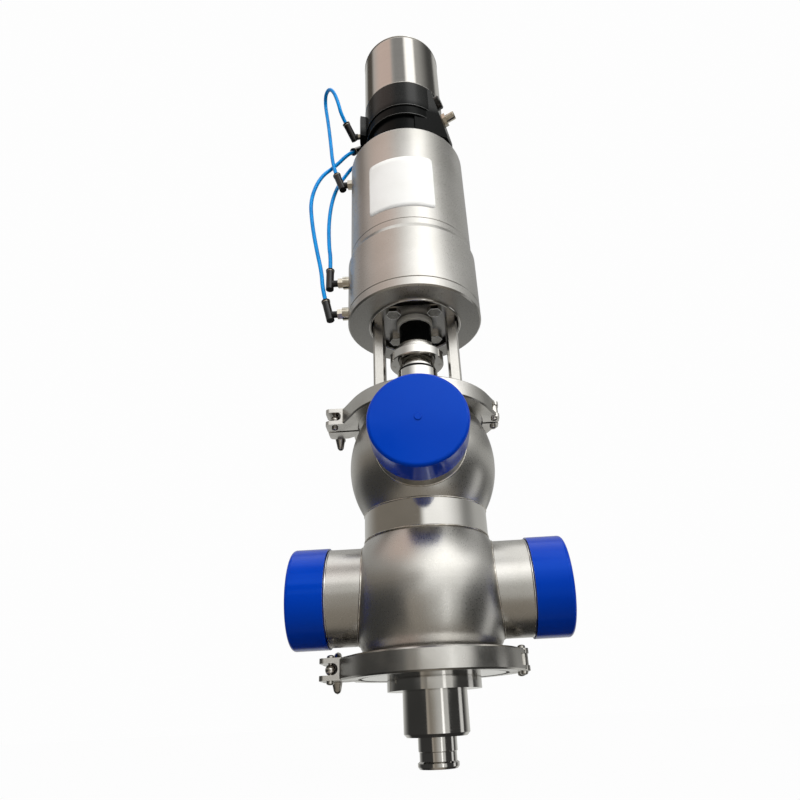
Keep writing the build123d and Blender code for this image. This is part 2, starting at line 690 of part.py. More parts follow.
def actuator_bottom():
    recess_z = ACT_Z0 + RECESS_DEPTH
    rim_r = RECESS_R + RECESS_RIM_W
    body = turned((RECESS_R, ACT_Z0 - RECESS_RIM_H), (rim_r, ACT_Z0 - RECESS_RIM_H), (rim_r, ACT_Z0),
                  (ACT_R - 2, ACT_Z0), (ACT_R, ACT_Z0 + 2), (ACT_R, ACT_GROOVE_Z - 0.8),
                  (ACT_R - 0.8, ACT_GROOVE_Z), (ACT_BORE_R, ACT_GROOVE_Z), (ACT_BORE_R, SPIGOT_TOP),
                  (GUIDE_R, SPIGOT_TOP), (GUIDE_R, recess_z), (RECESS_R, recess_z))
    for x, y in yoke_bolt_places():
        body -= rod((x, y, recess_z - 1), (x, y, recess_z + 6), YOKE_BOLT_R)
    return body


def rod_guide():
    return ring(GUIDE_R, ROD_SLEEVE_R + RUN_GAP, GUIDE_Z0, SPIGOT_TOP)


def actuator_lower_shell():
    cone_top = ACT_STEP_Z - ACT_STEP_BAND
    body = turned((ACT_BORE_R, ACT_GROOVE_Z), (ACT_R - 0.8, ACT_GROOVE_Z),
                  (ACT_R, ACT_GROOVE_Z + 0.8), (ACT_R, cone_top - ACT_CONE_H), (ACT_UPPER_R, cone_top),
                  (ACT_UPPER_R, ACT_STEP_Z - ACT_SEAM), (ACT_UPPER_R - ACT_SEAM, ACT_STEP_Z),
                  (ACT_BORE_R, ACT_STEP_Z))
    return body - port_bore(PORT_LOW_Z) - port_bore(PORT_MID_Z)


def port_bore(z):
    """Air passage through the actuator wall on the fittings' side."""
    return rod((-ACT_R - 5, 0, z), (-ACT_BORE_R + 5, 0, z), HOSE_R)


def actuator_upper_shell():
    edge = ThreePointArc((ACT_UPPER_R, ACT_TOP - TOP_EDGE),
                         (ACT_UPPER_R - 0.29 * TOP_EDGE, ACT_TOP - 0.29 * TOP_EDGE),
                         (ACT_UPPER_R - TOP_EDGE, ACT_TOP))
    sides = Polyline((ACT_UPPER_R - TOP_EDGE, ACT_TOP), (ACT_BORE_R, ACT_TOP),
                     (ACT_BORE_R, ACT_STEP_Z), (ACT_UPPER_R - ACT_SEAM, ACT_STEP_Z),
                     (ACT_UPPER_R, ACT_STEP_Z + ACT_SEAM), (ACT_UPPER_R, ACT_TOP - TOP_EDGE))
    body = revolve(Plane.XZ * make_face([*edge.edges(), *sides.edges()]), Axis.Z)
    return body - port_bore(PORT_TOP_Z)


def actuator_cover():
    return ring(ACT_BORE_R, ROD_R + RUN_GAP, ACT_TOP - TOP_PLATE_H, ACT_TOP)


def partition():
    return ring(ACT_BORE_R, STEM_R + LOOSE_GAP, PARTITION_Z0, PARTITION_Z0 + PARTITION_H)


def main_piston():
    seal_z = PISTON_Z0 + (PISTON_H - PISTON_SEAL_H) / 2
    body = ring(ACT_BORE_R - 0.5, STEM_R, PISTON_Z0, PISTON_Z0 + PISTON_H)
    return body - ring(ACT_BORE_R, ACT_BORE_R - 6, seal_z, seal_z + PISTON_SEAL_H)


def piston_seal():
    seal_z = PISTON_Z0 + (PISTON_H - PISTON_SEAL_H) / 2
    return ring(ACT_BORE_R - RUN_GAP, ACT_BORE_R - 6, seal_z, seal_z + PISTON_SEAL_H)


def push_piston():
    return ring(ACT_BORE_R - RUN_GAP, ROD_R, PUSH_PISTON_Z0, PUSH_PISTON_Z0 + PUSH_PISTON_H)


def coil_spring(radius, wire, z0, z1, turns):
    """Open coil between two seats, its wire a full gap clear of both."""
    low = z0 + wire / 2 + SOFT_GAP
    height = z1 - z0 - wire - 2 * SOFT_GAP
    path = Pos(0, 0, low) * Helix(height / turns, height, radius)
    section = Plane(origin=path @ 0, z_dir=path % 0) * Circle(wire / 2)
    return sweep(section, path=path, is_frenet=True)


# Air fittings

def actuator_ports():
    """Each port: height, boss end and elbow axis on the fittings' side."""
    return [(PORT_LOW_Z, BOSS_END_X, LOW_ELBOW_X, ACT_R), (PORT_MID_Z, BOSS_END_X, LOW_ELBOW_X, ACT_R),
            (PORT_TOP_Z, ACT_UPPER_R, TOP_ELBOW_X, ACT_UPPER_R)]


def port_bosses():
    group = []
    for z, boss_x, elbow_x, wall_r in actuator_ports():
        if boss_x > wall_r:
            boss = rod((-boss_x, 0, z), (-wall_r + 4, 0, z), BOSS_R) - ring(wall_r, 0, z - 20, z + 20)
            group.append(boss - rod((-boss_x - 1, 0, z), (-wall_r + 5, 0, z), HOSE_R))
    return group


def elbow_frames():
    """Every elbow: nut seat, thread direction, the way its hose leaves and its reach."""
    frames = []
    leave = [(-0.22, 0, 0.975), (0, 0, 1), (-0.3, 0, 0.95)]
    for (z, boss_x, elbow_x, wall_r), way in zip(actuator_ports(), leave):
        seat = Vector(-boss_x, 0, z)
        frames.append((seat, Vector(-1, 0, 0), Vector(*way).normalized(), elbow_x - boss_x))
    leave = [(-0.414, -0.504, 0.758), (-0.35, -0.5, -0.79), (-0.66, -0.58, -0.47)]
    for (azimuth, rise), way in zip(HEAD_PORTS, leave):
        turn = math.radians(azimuth)
        out = Vector(math.cos(turn), math.sin(turn), 0)
        seat = out * AIR_PAD_R + Vector(0, 0, AIR_PAD_Z + rise)
        frames.append((seat, out, Vector(*way).normalized(), HEAD_ELBOW_REACH))
    return frames


def elbow_sizes():
    """Every elbow: its nut's size and thickness and the tower's reach past the bend."""
    actuator = [(NUT_AF, NUT_T, ELBOW_DROP)] * len(actuator_ports())
    return actuator + [(HEAD_NUT_AF, HEAD_NUT_T, HEAD_ELBOW_DROP)] * len(HEAD_PORTS)


def elbow_nuts():
    group = []
    for (start, out, way, reach), (nut_af, nut_t, drop) in zip(elbow_frames(), elbow_sizes()):
        end = start + out * nut_t
        nut = hexagon(nut_af, tuple(start), tuple(end))
        group.append(nut - rod(tuple(start - out), tuple(end + out), HOSE_R))
    return group


def elbows():
    group = []
    for (start, out, way, reach), (nut_af, nut_t, drop) in zip(elbow_frames(), elbow_sizes()):
        bend = start + out * reach
        arm = rod(tuple(start + out * nut_t), tuple(bend), ELBOW_R - 0.8)
        tower = rod(tuple(bend - way * drop), tuple(bend + way * ELBOW_RISE), ELBOW_R)
        group.append(arm + tower)
    return group


def collars():
    group = []
    for start, out, way, reach in elbow_frames():
        base = start + out * reach + way * ELBOW_RISE
        group.append(rod(tuple(base), tuple(base + way * COLLAR_H), COLLAR_R))
    return group


def hose_ends(first, second):
    """Centres of the two collar faces that a hose enters, and its ways out."""
    ends = []
    for index in (first, second):
        start, out, way, reach = elbow_frames()[index]
        ends.append((start + out * reach + way * (ELBOW_RISE + COLLAR_H), way))
    return ends


def hose(route, straights, first, second, name):
    """Plain tube: straight runs joined by arcs as large as the runs allow."""
    (low, low_way), (high, high_way) = hose_ends(first, second)
    middle = [Vector(x, y, ACT_Z0 + rise) for x, y, rise in route]
    points = [low, low + low_way * straights[0], *middle, high + high_way * straights[1], high]
    radii = []
    for before, here, after in zip(points, points[1:], points[2:]):
        coming = here - before
        going = after - here
        turn = math.radians(coming.get_angle(going))
        radii.append(0.45 * min(coming.length, going.length) / math.tan(turn / 2))
    path = FilletPolyline(*points, radius=radii)
    section = Plane(origin=path @ 0, z_dir=path % 0) * Circle(HOSE_R)
    tube = sweep(section, path=path)
    expected = math.pi * HOSE_R ** 2 * path.length
    print(name, "length", round(path.length, 1), "volume ratio", round(tube.volume / expected, 4),
          "radii", [round(r, 1) for r in radii], "ends", low, points[1], points[-2], high)
    return tube


# Control head

def control_base():
    """Black moulded base with its air face and its connector lug."""
    edge = 1.5
    r = HEAD_R
    g = HEAD_GROOVE
    lip = HEAD_LIP_Z
    band = HEAD_BAND_Z
    foot_r = HEAD_FOOT_R
    inner_r = HEAD_UPPER_R - HEAD_WALL + 1
    top = HEAD_RIM_Z + HEAD_SPIGOT_H
    shell = turned((0, ACT_TOP), (foot_r - edge, ACT_TOP), (foot_r, ACT_TOP + edge), (foot_r, lip),
                   (r - g, lip), (r, lip + g), (r, band - g), (r - g, band - g), (r - g, band),
                   (HEAD_UPPER_R - g, band), (HEAD_UPPER_R, band + g), (HEAD_UPPER_R, HEAD_RIM_Z),
                   (inner_r, HEAD_RIM_Z), (inner_r, top), (0, top))
    shell += lug_block() + air_pad()
    cavity_r = HEAD_UPPER_R - HEAD_WALL - 2
    shell -= ring(cavity_r, 0, HEAD_FLOOR_Z, HEAD_TOP)
    shell -= ring(foot_r - HEAD_WALL, 0, ACT_TOP + 6, HEAD_FLOOR_Z - 6)
    groove_z = HEAD_RIM_Z + (HEAD_SPIGOT_H - HEAD_SEAL_H) / 2
    shell -= ring(HEAD_UPPER_R, HEAD_UPPER_R - HEAD_WALL, groove_z, groove_z + HEAD_SEAL_H)
    shell -= ring(ROD_R + LOOSE_GAP, 0, ACT_TOP - 1, HEAD_FLOOR_Z + 1)
    hang = (Align.CENTER, Align.CENTER, Align.MAX)
    for index in range(2):
        place = lug_face_place(index)
        shell -= place * Pos(0, 0, -2) * Cylinder(SOCKET_R - 1.5, SOCKET_BORE_L, align=hang)
    return shell - lug_face_place(1) * extrude(Circle(VENT_R + FACE_GAP), 2 * VENT_L)


def lug_block():
    """Wedge that carries the connector, flared at its root on the front side."""
    top = HEAD_RIM_Z - 1
    foot = LUG_FOOT_Z - LUG_FOOT_H
    side = Polyline((LUG_ROOT_X, foot), (LUG_FOOT_X, foot), (LUG_FOOT_X, LUG_FOOT_Z), (LUG_TOP_X, top),
                    (LUG_ROOT_X, top), close=True)
    flare_y = LUG_Y0 - LUG_FLARE * (LUG_TOP_X - LUG_ROOT_X)
    front_y = LUG_Y0 + LUG_FLARE * (LUG_FOOT_X - LUG_TOP_X)
    plan = Polyline((LUG_ROOT_X, flare_y), (LUG_FOOT_X, front_y), (LUG_FOOT_X, LUG_Y1), (LUG_ROOT_X, LUG_Y1),
                    close=True)
    wedge = Plane(origin=(0, LUG_Y1, 0), x_dir=(1, 0, 0), z_dir=(0, -1, 0)) * make_face(side)
    wedge = extrude(wedge, LUG_Y1 - flare_y) & Pos(0, 0, foot) * extrude(make_face(plan), top - foot)
    return Rot(0, 0, LUG_AZIMUTH) * wedge


def air_pad():
    """Raised sector on the head's side that the air elbows screw into."""
    middle = (AIR_PAD_START + AIR_PAD_END) / 2
    far = 2 * AIR_PAD_R
    rays = [math.radians(a) for a in (AIR_PAD_START, middle, AIR_PAD_END)]
    wedge = Polyline((0, 0), *[(far * math.cos(a), far * math.sin(a)) for a in rays], close=True)
    low = AIR_PAD_Z - AIR_PAD_H / 2
    wedge = Pos(0, 0, low) * extrude(make_face(wedge), AIR_PAD_H)
    return wedge & ring(AIR_PAD_R, HEAD_UPPER_R - 3, low, low + AIR_PAD_H)


def lug_face_place(index):
    """Frame on the lug's slanting face: 0 for the connector, 1 for the vent."""
    run = Vector(LUG_FOOT_X, 0, LUG_FOOT_Z) - Vector(LUG_TOP_X, 0, HEAD_RIM_Z - 1)
    out = Vector(-run.Z, 0, run.X).normalized()
    share, across = LUG_PLACES[index]
    centre = Vector(LUG_TOP_X, across, HEAD_RIM_Z - 1) + run * share + out * FACE_GAP
    flat = Plane(origin=tuple(centre), z_dir=tuple(out))
    return Rot(0, 0, LUG_AZIMUTH) * flat.location


def power_socket():
    place = lug_face_place(0)
    nut = extrude(RegularPolygon(SOCKET_NUT_AF / 2, 6, major_radius=False), SOCKET_NUT_T)
    barrel = Pos(0, 0, SOCKET_NUT_T) * extrude(Circle(SOCKET_R), SOCKET_L - SOCKET_NUT_T)
    mouth = Pos(0, 0, SOCKET_L - 7) * extrude(Circle(SOCKET_R - 1.4), 8)
    return place * (nut + barrel - mouth)


def vent_plug():
    place = lug_face_place(1)
    body = extrude(Circle(VENT_R), VENT_L)
    body = chamfer(body.edges().filter_by(GeomType.CIRCLE).sort_by(Axis.Z)[-1], 1.5)
    return place * body


def head_cap():
    z0 = HEAD_RIM_Z
    r = HEAD_UPPER_R
    w = HEAD_CAP_WALL
    e = HEAD_CAP_EDGE
    outer = ThreePointArc((r, HEAD_TOP - e), (r - 0.29 * e, HEAD_TOP - 0.29 * e), (r - e, HEAD_TOP))
    sides = Polyline((r - e, HEAD_TOP), (0, HEAD_TOP), (0, HEAD_TOP - w), (r - e, HEAD_TOP - w),
                     (r - w, HEAD_TOP - e), (r - w, z0 + SOFT_GAP), (r, z0 + SOFT_GAP), (r, HEAD_TOP - e))
    return revolve(Plane.XZ * make_face([*outer.edges(), *sides.edges()]), Axis.Z)


def head_seal():
    groove_z = HEAD_RIM_Z + (HEAD_SPIGOT_H - HEAD_SEAL_H) / 2
    outer = HEAD_UPPER_R - HEAD_CAP_WALL - SOFT_GAP
    return ring(outer, HEAD_UPPER_R - HEAD_WALL, groove_z, groove_z + HEAD_SEAL_H)


def pilot_valves():
    group = []
    for index in (-1, 0, 1):
        y = index * PILOT_PITCH
        group.append(block(PILOT_X, PILOT_X + PILOT_D, y - PILOT_W / 2, y + PILOT_W / 2, HEAD_FLOOR_Z,
                           HEAD_FLOOR_Z + PILOT_H))
    return Compound(group)


def circuit_board():
    return block(BOARD_X, BOARD_X + BOARD_T, -BOARD_W / 2, BOARD_W / 2, HEAD_FLOOR_Z, HEAD_FLOOR_Z + BOARD_H)


def sensor_tower():
    """Slotted post that reads the target on the rod."""
    x0 = TARGET_R + POST_GAP
    return block(x0, x0 + POST_T, -POST_W / 2, POST_W / 2, HEAD_FLOOR_Z, HEAD_FLOOR_Z + BOARD_H)


def model():
    """Every node of the valve by name."""
    spring_z0 = PISTON_Z0 + PISTON_H
    parts = {
        "lower_housing": lower_housing(),
        "seat_ring": seat_ring(),
        "upper_housing": upper_housing(),
        "joint_gaskets": Compound([gasket(LOWER_JOINT_Z), gasket(UPPER_JOINT_Z)]),
        "lower_bonnet": lower_bonnet(),
        "guide_bushes": guide_bushes(),
        "shaft_seals": shaft_seals(),
        "lower_plug": lower_plug(),
        "lower_plug_seal": lower_plug_seal(),
        "lower_rod": lower_rod(),
        "upper_plug": upper_plug(),
        "upper_plug_seal": upper_plug_seal(),
        "upper_bonnet": upper_bonnet(),
        "coupling_flange": coupling_flange(),
        "coupling_ring": coupling_ring(),
        "coupling_screws": coupling_screws(),
        "rod_sleeve": rod_sleeve(),
        "rod_tube": rod_tube(),
        "yoke": yoke(),
        "yoke_fasteners": Compound(yoke_bolts() + yoke_base_screws()),
        "actuator_bottom": actuator_bottom(),
        "rod_guide": rod_guide(),
        "actuator_lower_shell": actuator_lower_shell(),
        "actuator_upper_shell": actuator_upper_shell(),
        "actuator_cover": actuator_cover(),
        "actuator_partition": partition(),
        "main_piston": main_piston(),
        "piston_seal": piston_seal(),
        "push_piston": push_piston(),
        "main_spring": coil_spring(SPRING_R, SPRING_WIRE, spring_z0, PARTITION_Z0, SPRING_TURNS),
        "plug_spring": coil_spring(PLUG_SPRING_R, PLUG_SPRING_WIRE, ROD_TUBE_TOP, PUSH_PISTON_Z0,
                                   PLUG_SPRING_TURNS),
        "port_fittings": Compound(port_bosses() + elbow_nuts()),
        "push_in_elbows": Compound(elbows()),
        "elbow_collars": Compound(collars()),
        "control_base": control_base(),
        "control_cap": head_cap(),
        "control_seal": head_seal(),
        "power_socket": power_socket(),
        "vent_plug": vent_plug(),
        "pilot_valves": pilot_valves(),
        "position_sensor": Compound([circuit_board(), sensor_tower()]),
        "cap_left": placed_cap((-1, 0), LOWER_PORT_Z, LOWER_TUBE_END),
        "cap_right": placed_cap((1, 0), LOWER_PORT_Z, LOWER_TUBE_END),
        "cap_front": placed_cap((0, -1), UPPER_PORT_Z, UPPER_TUBE_END),
        "cap_rear": placed_cap((0, 1), UPPER_PORT_Z, UPPER_TUBE_END),
        "hose_top": hose(HOSE_TOP, HOSE_TOP_ENDS, 2, 3, "hose_top"),
        "hose_low": hose(HOSE_LOW, HOSE_LOW_ENDS, 0, 4, "hose_low"),
        "hose_mid": hose(HOSE_MID, HOSE_MID_ENDS, 1, 5, "hose_mid"),
    }
    return parts


def clamp_parts(name, joint_z):
    """The pieces of one band clamp."""
    hinge_pins = [clamp_pin(HINGE_PIN_X, y, joint_z) for y in (-PIN_Y, PIN_Y)]
    rear = [hinge_link(joint_z), *hinge_pins]
    return {
        name + "_clamp_rear": clamp_half(1, joint_z),
        name + "_clamp_front": clamp_half(-1, joint_z),
        name + "_clamp_hinge": Compound(rear),
        name + "_bolt_pin": clamp_pin(BOLT_PIN_X, -PIN_Y, joint_z),
        name + "_eyebolt": eyebolt(joint_z),
        name + "_wing_nut": wing_nut(joint_z),
    }


def main():
    os.makedirs(PARTS_DIR, exist_ok=True)
    parts = model()
    parts.update(clamp_parts("lower", LOWER_JOINT_Z))
    parts.update(clamp_parts("upper", UPPER_JOINT_Z))
    for name, shape in parts.items():
        export_step(shape, os.path.join(PARTS_DIR, name + ".step"))
    print(len(parts), "nodes")


main()
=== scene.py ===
"""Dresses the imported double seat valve: finishes, weld beads, air hoses, label, fittings and the studio."""

import json

import bmesh
import bpy
import numpy as np
from mathutils import Matrix, Vector


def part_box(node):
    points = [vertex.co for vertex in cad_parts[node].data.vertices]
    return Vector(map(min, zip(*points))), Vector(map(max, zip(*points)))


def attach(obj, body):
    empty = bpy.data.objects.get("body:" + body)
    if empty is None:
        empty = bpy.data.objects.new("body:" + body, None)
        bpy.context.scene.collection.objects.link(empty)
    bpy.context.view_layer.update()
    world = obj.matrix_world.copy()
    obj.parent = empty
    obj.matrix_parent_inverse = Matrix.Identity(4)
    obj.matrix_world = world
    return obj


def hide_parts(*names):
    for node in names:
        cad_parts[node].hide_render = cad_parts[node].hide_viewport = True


bl_info = {
    "name": "Double seat valve dressing",
    "version": (1, 0, 0),
    "blender": (4, 5, 0),
    "location": "View3D > Sidebar > Valve",
    "description": "Finishes, welds, hoses, label and studio for a double seat sanitary valve",
    "category": "Object",
}

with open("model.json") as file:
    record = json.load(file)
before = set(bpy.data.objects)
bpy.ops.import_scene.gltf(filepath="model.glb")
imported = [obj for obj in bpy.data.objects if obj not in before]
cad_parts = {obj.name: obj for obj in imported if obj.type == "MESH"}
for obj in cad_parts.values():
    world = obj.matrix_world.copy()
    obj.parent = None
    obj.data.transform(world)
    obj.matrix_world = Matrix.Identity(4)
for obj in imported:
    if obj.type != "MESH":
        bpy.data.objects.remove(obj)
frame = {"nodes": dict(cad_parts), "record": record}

# Route points of the three air hoses in metres, from the lower collar face to the upper one
HOSE_ROUTES = {
    "air_hose_top": ("hose_top", [
        (-0.11153, 0, 0.81684), (-0.11815, 0, 0.83782), (-0.1229, -0.001, 0.895),
        (-0.1296, 0.004, 0.9548), (-0.1343, 0.0015, 0.9907), (-0.1315, -0.0137, 0.9999),
        (-0.122, -0.0278, 0.9945), (-0.1135, -0.0306, 0.9791), (-0.1062, -0.0273, 0.9533),
        (-0.10289, -0.02117, 0.93584), (-0.09585, -0.0126, 0.92295)]),
    "air_hose_low": ("hose_low", [
        (-0.1235, 0, 0.56839), (-0.12835, 0, 0.58985), (-0.1305, 0, 0.620), (-0.140, -0.001, 0.668),
        (-0.1475, -0.003, 0.716), (-0.1515, -0.003, 0.765), (-0.1389, 0.004, 0.8203),
        (-0.1159, 0.012, 0.8517), (-0.09505, 0.00949, 0.87639), (-0.08804, 0.01951, 0.89222)]),
    "air_hose_mid": ("hose_mid", [
        (-0.118, 0, 0.623), (-0.118, 0, 0.647), (-0.121, 0.002, 0.668), (-0.1235, 0.006, 0.718),
        (-0.121, 0.011, 0.768), (-0.1135, 0.019, 0.812), (-0.103, 0.032, 0.850),
        (-0.08741, 0.03698, 0.88289), (-0.07152, 0.05095, 0.89421)]),
}

LOWER_PORT_Z = 0.164
UPPER_PORT_Z = 0.311
TUBE_R = 0.0508
BALL_R = 0.086
# Radius where a ball meets the ring or its bonnet, and the heights of those circles
BALL_END_R = 0.0687
LOWER_BALL_Z = (0.09923, 0.2196)
UPPER_BALL_Z = (0.2502, 0.36682)
RING_R = 0.0694
ACTUATOR_R = 0.0866
LABEL_T = 0.0002
# Heights of the two clamped joints, and where the clamps' pins stand
JOINTS = {"lower": 0.09125, "upper": 0.3748}
BOLT_PIN_X = -0.105
HINGE_PIN_X = 0.091
PIN_Y = 0.011
PIN_HEAD_Z = 0.01255
# The slot that each eyebolt swings in: half its width, where its root is, and the depths of its two faces
SLOT_HALF = 0.0056
SLOT_ROOT_X = BOLT_PIN_X + 0.009
SLOT_Y = (-0.0216, -0.002)
# Radius of the eyebolt's eye, roots and crests of its thread, and half the thread's pitch
EYE_R = 0.0055
THREAD_R = (0.0035, 0.0040)
HALF_PITCH = 0.000625
# Seat of the wing nut on its bolt, and where its wings stand on it
NUT_Y = 0.0353
WING_Y = 0.0062
# Tip and direction of the power connector
CONNECTOR_TIP = (0.081912, -0.03647, 0.894211)
CONNECTOR_WAY = (0.902329, -0.401743, 0.156221)
# Centres of the yoke's bolts, and radius and height above the actuator of the head's two lower edges
BOLTS = [(-0.027, -0.032), (0.027, -0.032), (-0.027, 0.032), (0.027, 0.032)]
HEAD_LIPS = [(0.0625, 0.0647), (0.0640, 0.0837)]

# The studio: each layer begins at a sine of height, from where it starts to show to where it is full, and
# covers those below. It has its own light all round, as brightness and tint, and panels painted over it. A
# panel has its edges in degrees to the right of the camera: where it starts to show, is full, starts to fade
# and is gone.
PLAIN, GREY, TAN, WARM = (1, 1, 0.98), (1, 1, 0.96), (1, 0.90, 0.76), (1, 0.81, 0.72)
STUDIO = [
    ((-3, -2), (0.035, GREY), [
        ((-95, -50, 50, 95), 0.31, TAN)]),
    ((-0.62, -0.42), (0.66, GREY), [
        ((-165, -106, -33, -29), 0.05, GREY),
        ((-33, -29, 43, 48), 0.31, TAN),
        ((-33, -29, -27, -20), 0.46, TAN),
        ((-18, 20, 43, 48), 0.68, GREY),
        ((20, 22, 27, 29), 1.9, PLAIN),
        ((43, 48, 112, 146), 0.05, GREY),
        ((87, 94, 104, 109), 0.9, PLAIN)]),
    ((0.03, 0.075), (0.30, GREY), [
        ((-135, -95, -55, -22), 0.07, GREY),
        ((-18, -14, 46, 60), 0.96, GREY),
        ((46, 65, 95, 130), 0.08, GREY)]),
    ((0.17, 0.24), (0.57, GREY), [
        ((-150, -95, -11, 4), 0.26, TAN),
        ((-11, 4, 28, 80), 1.5, PLAIN),
        ((62, 84, 84, 112), 0.33, GREY)]),
    ((0.36, 0.46), (0.44, GREY), [
        ((97, 134, 134, 180), 0.20, GREY),
        ((-56, 22, 45, 106), 2.4, PLAIN)]),
    ((0.52, 0.64), (0.49, PLAIN), [
        ((-110, -52, -30, 0), 0.82, WARM),
        ((-124, -100, -100, -82), 0.32, WARM),
        ((-34, 24, 34, 72), 2.32, PLAIN)]),
    ((0.72, 0.80), (0.56, GREY), [
        ((-142, -126, -106, -90), 0.10, TAN),
        ((-106, -64, -34, -20), 0.81, WARM),
        ((-34, -14, 9, 19), 0.36, PLAIN),
        ((9, 20, 40, 48), 1.98, PLAIN),
        ((42, 100, 114, 130), 0.08, GREY)]),
    ((0.90, 0.97), (1.44, PLAIN), [])]
STUDIO_PEAK = 2.4
# Pitch, azimuth and roll of the camera in degrees, and its place
CAMERA_ANGLES = (27.71, -1.13, 3.0)
CAMERA_PLACE = (0.010, -0.6762, 0.0445)
# Place and size of the soft lights, and the setting that holds each one's power
LIGHTS = {
    "key_light": ((0.5, -1.6, 2.0), (1.4, 1.4), "key_power"),
    "right_light": ((1.7, -0.9, 0.9), (0.7, 1.8), "fill_power"),
    "left_light": ((-1.8, -0.7, 0.7), (0.7, 1.6), "fill_power"),
}
LIGHTS_AIM = Vector((0, 0, 0.5))
# The floor lies just below the lowest height that the lower plug's stroke reaches
FLOOR_Z = -0.006


def linear(hex_colour):
    """Linear colour for an sRGB hex word."""
    parts = np.array([int(hex_colour[i:i + 2], 16) for i in (0, 2, 4)]) / 255
    low = parts / 12.92
    high = ((parts + 0.055) / 1.055) ** 2.4
    return (*np.where(parts <= 0.04045, low, high), 1.0)


def studio_light(brightness, tint):
    """Colour of a part of the studio, as a share of its peak."""
    return (*(brightness / STUDIO_PEAK * part for part in tint), 1)


def feed(tree, value, socket):
    """Links a socket's output or sets a plain value."""
    if isinstance(value, bpy.types.NodeSocket):
        tree.links.new(value, socket)
    else:
        socket.default_value = value


def new_mesh(name, grid, closed_u=False, closed_v=False):
    """Mesh of quads over a grid of points, wrapped round in u or v where told."""
    rows, columns = grid.shape[:2]
    i = np.arange(rows if closed_u else rows - 1)
    j = np.arange(columns if closed_v else columns - 1)
    i, j = np.meshgrid(i, j, indexing="ij")
    down = (i + 1) % rows
    right = (j + 1) % columns
    faces = np.stack([i * columns + j, i * columns + right, down * columns + right, down * columns + j], -1)
    mesh = bpy.data.meshes.new(name)
    mesh.from_pydata(grid.reshape(-1, 3).tolist(), [], faces.reshape(-1, 4).tolist())
    mesh.polygons.foreach_set("use_smooth", np.ones(len(mesh.polygons), bool))
    mesh.update()
    return mesh


def joined(name, grids, closed_u=True, closed_v=True):
    """One mesh from several grids of the same kind, its poles merged, its faces turned outwards."""
    shape = bmesh.new()
    for grid in grids:
        part = new_mesh(name, grid, closed_u, closed_v)
        shape.from_mesh(part)
        bpy.data.meshes.remove(part)
    bmesh.ops.remove_doubles(shape, verts=shape.verts, dist=1e-6)
    bmesh.ops.recalc_face_normals(shape, faces=shape.faces)
    mesh = bpy.data.meshes.new(name)
    shape.to_mesh(mesh)
    shape.free()
    return mesh


def add_piece(name, mesh, body, material):
    """Links a finished mesh at the origin and lets it ride on its body."""
    piece = bpy.data.objects.new(name, mesh)
    bpy.context.scene.collection.objects.link(piece)
    mesh.materials.clear()
    mesh.materials.append(material)
    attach(piece, body)
    return piece


def bead(path, radius, sides=8):
    """Tube round a closed path: a circle in the plane of the path's normal, carried along it."""
    ahead = np.roll(path, -1, 0) - np.roll(path, 1, 0)
    ahead /= np.linalg.norm(ahead, axis=1, keepdims=True)
    aside = path - path.mean(0)
    aside -= (aside * ahead).sum(1, keepdims=True) * ahead
    aside /= np.linalg.norm(aside, axis=1, keepdims=True)
    third = np.cross(ahead, aside)
    turn = np.linspace(0, 2 * np.pi, sides, endpoint=False)
    outwards = np.cos(turn)[None, :, None] * aside[:, None] + np.sin(turn)[None, :, None] * third[:, None]
    return path[:, None] + radius * outwards


def ball_radius(z, points):
    """Radius of a housing's outside at height z, on the circle through three (radius, height) points."""
    (r1, z1), (r2, z2), (r3, z3) = points
    left = np.array([[r2 - r1, z2 - z1], [r3 - r1, z3 - z1]]) * 2
    right = np.array([r2 ** 2 - r1 ** 2 + z2 ** 2 - z1 ** 2, r3 ** 2 - r1 ** 2 + z3 ** 2 - z1 ** 2])
    centre = np.linalg.solve(left, right)
    radius = np.hypot(r1 - centre[0], z1 - centre[1])
    return centre[0] + np.sqrt(radius ** 2 - (z - centre[1]) ** 2)


def seam_path(port_z, points, along, side, steps=160):
    """Where a tube meets its ball: round the tube by angle t, out to the ball's radius at that height."""
    t = np.linspace(0, 2 * np.pi, steps, endpoint=False)
    across = TUBE_R * np.cos(t)
    z = port_z + TUBE_R * np.sin(t)
    out = side * np.sqrt(ball_radius(z, points) ** 2 - across ** 2)
    if along == "x":
        return np.stack([out, across, z], 1)
    return np.stack([-across, out, z], 1)


def hoop(radius, z, steps=180):
    """Circle about the valve's axis."""
    t = np.linspace(0, 2 * np.pi, steps, endpoint=False)
    return np.stack([radius * np.cos(t), radius * np.sin(t), np.full(steps, z)], 1)


def round_band(centre, way, profile, steps):
    """A closed (radius, height) profile turned about a line through centre along way."""
    way = Vector(way).normalized()
    aside = way.orthogonal().normalized()
    third = way.cross(aside)
    t = np.linspace(0, 2 * np.pi, steps, endpoint=False)
    radial = np.cos(t)[:, None] * np.array(aside) + np.sin(t)[:, None] * np.array(third)
    profile = np.array(profile, float)
    return (np.array(centre) + radial[:, None] * profile[None, :, :1]
            + np.array(way) * profile[None, :, 1:])


def dome(centre, way, radius, height, steps=9):
    """Closed button: a quarter ellipse of radius and height turned about a line, over a flat foot."""
    t = np.linspace(0, np.pi / 2, steps)
    profile = np.stack([radius * np.cos(t), height * np.sin(t)], 1)
    foot = np.array([[0, -0.2 * height], [radius, -0.2 * height]])
    return round_band(centre, way, np.vstack([foot, profile]), 24)


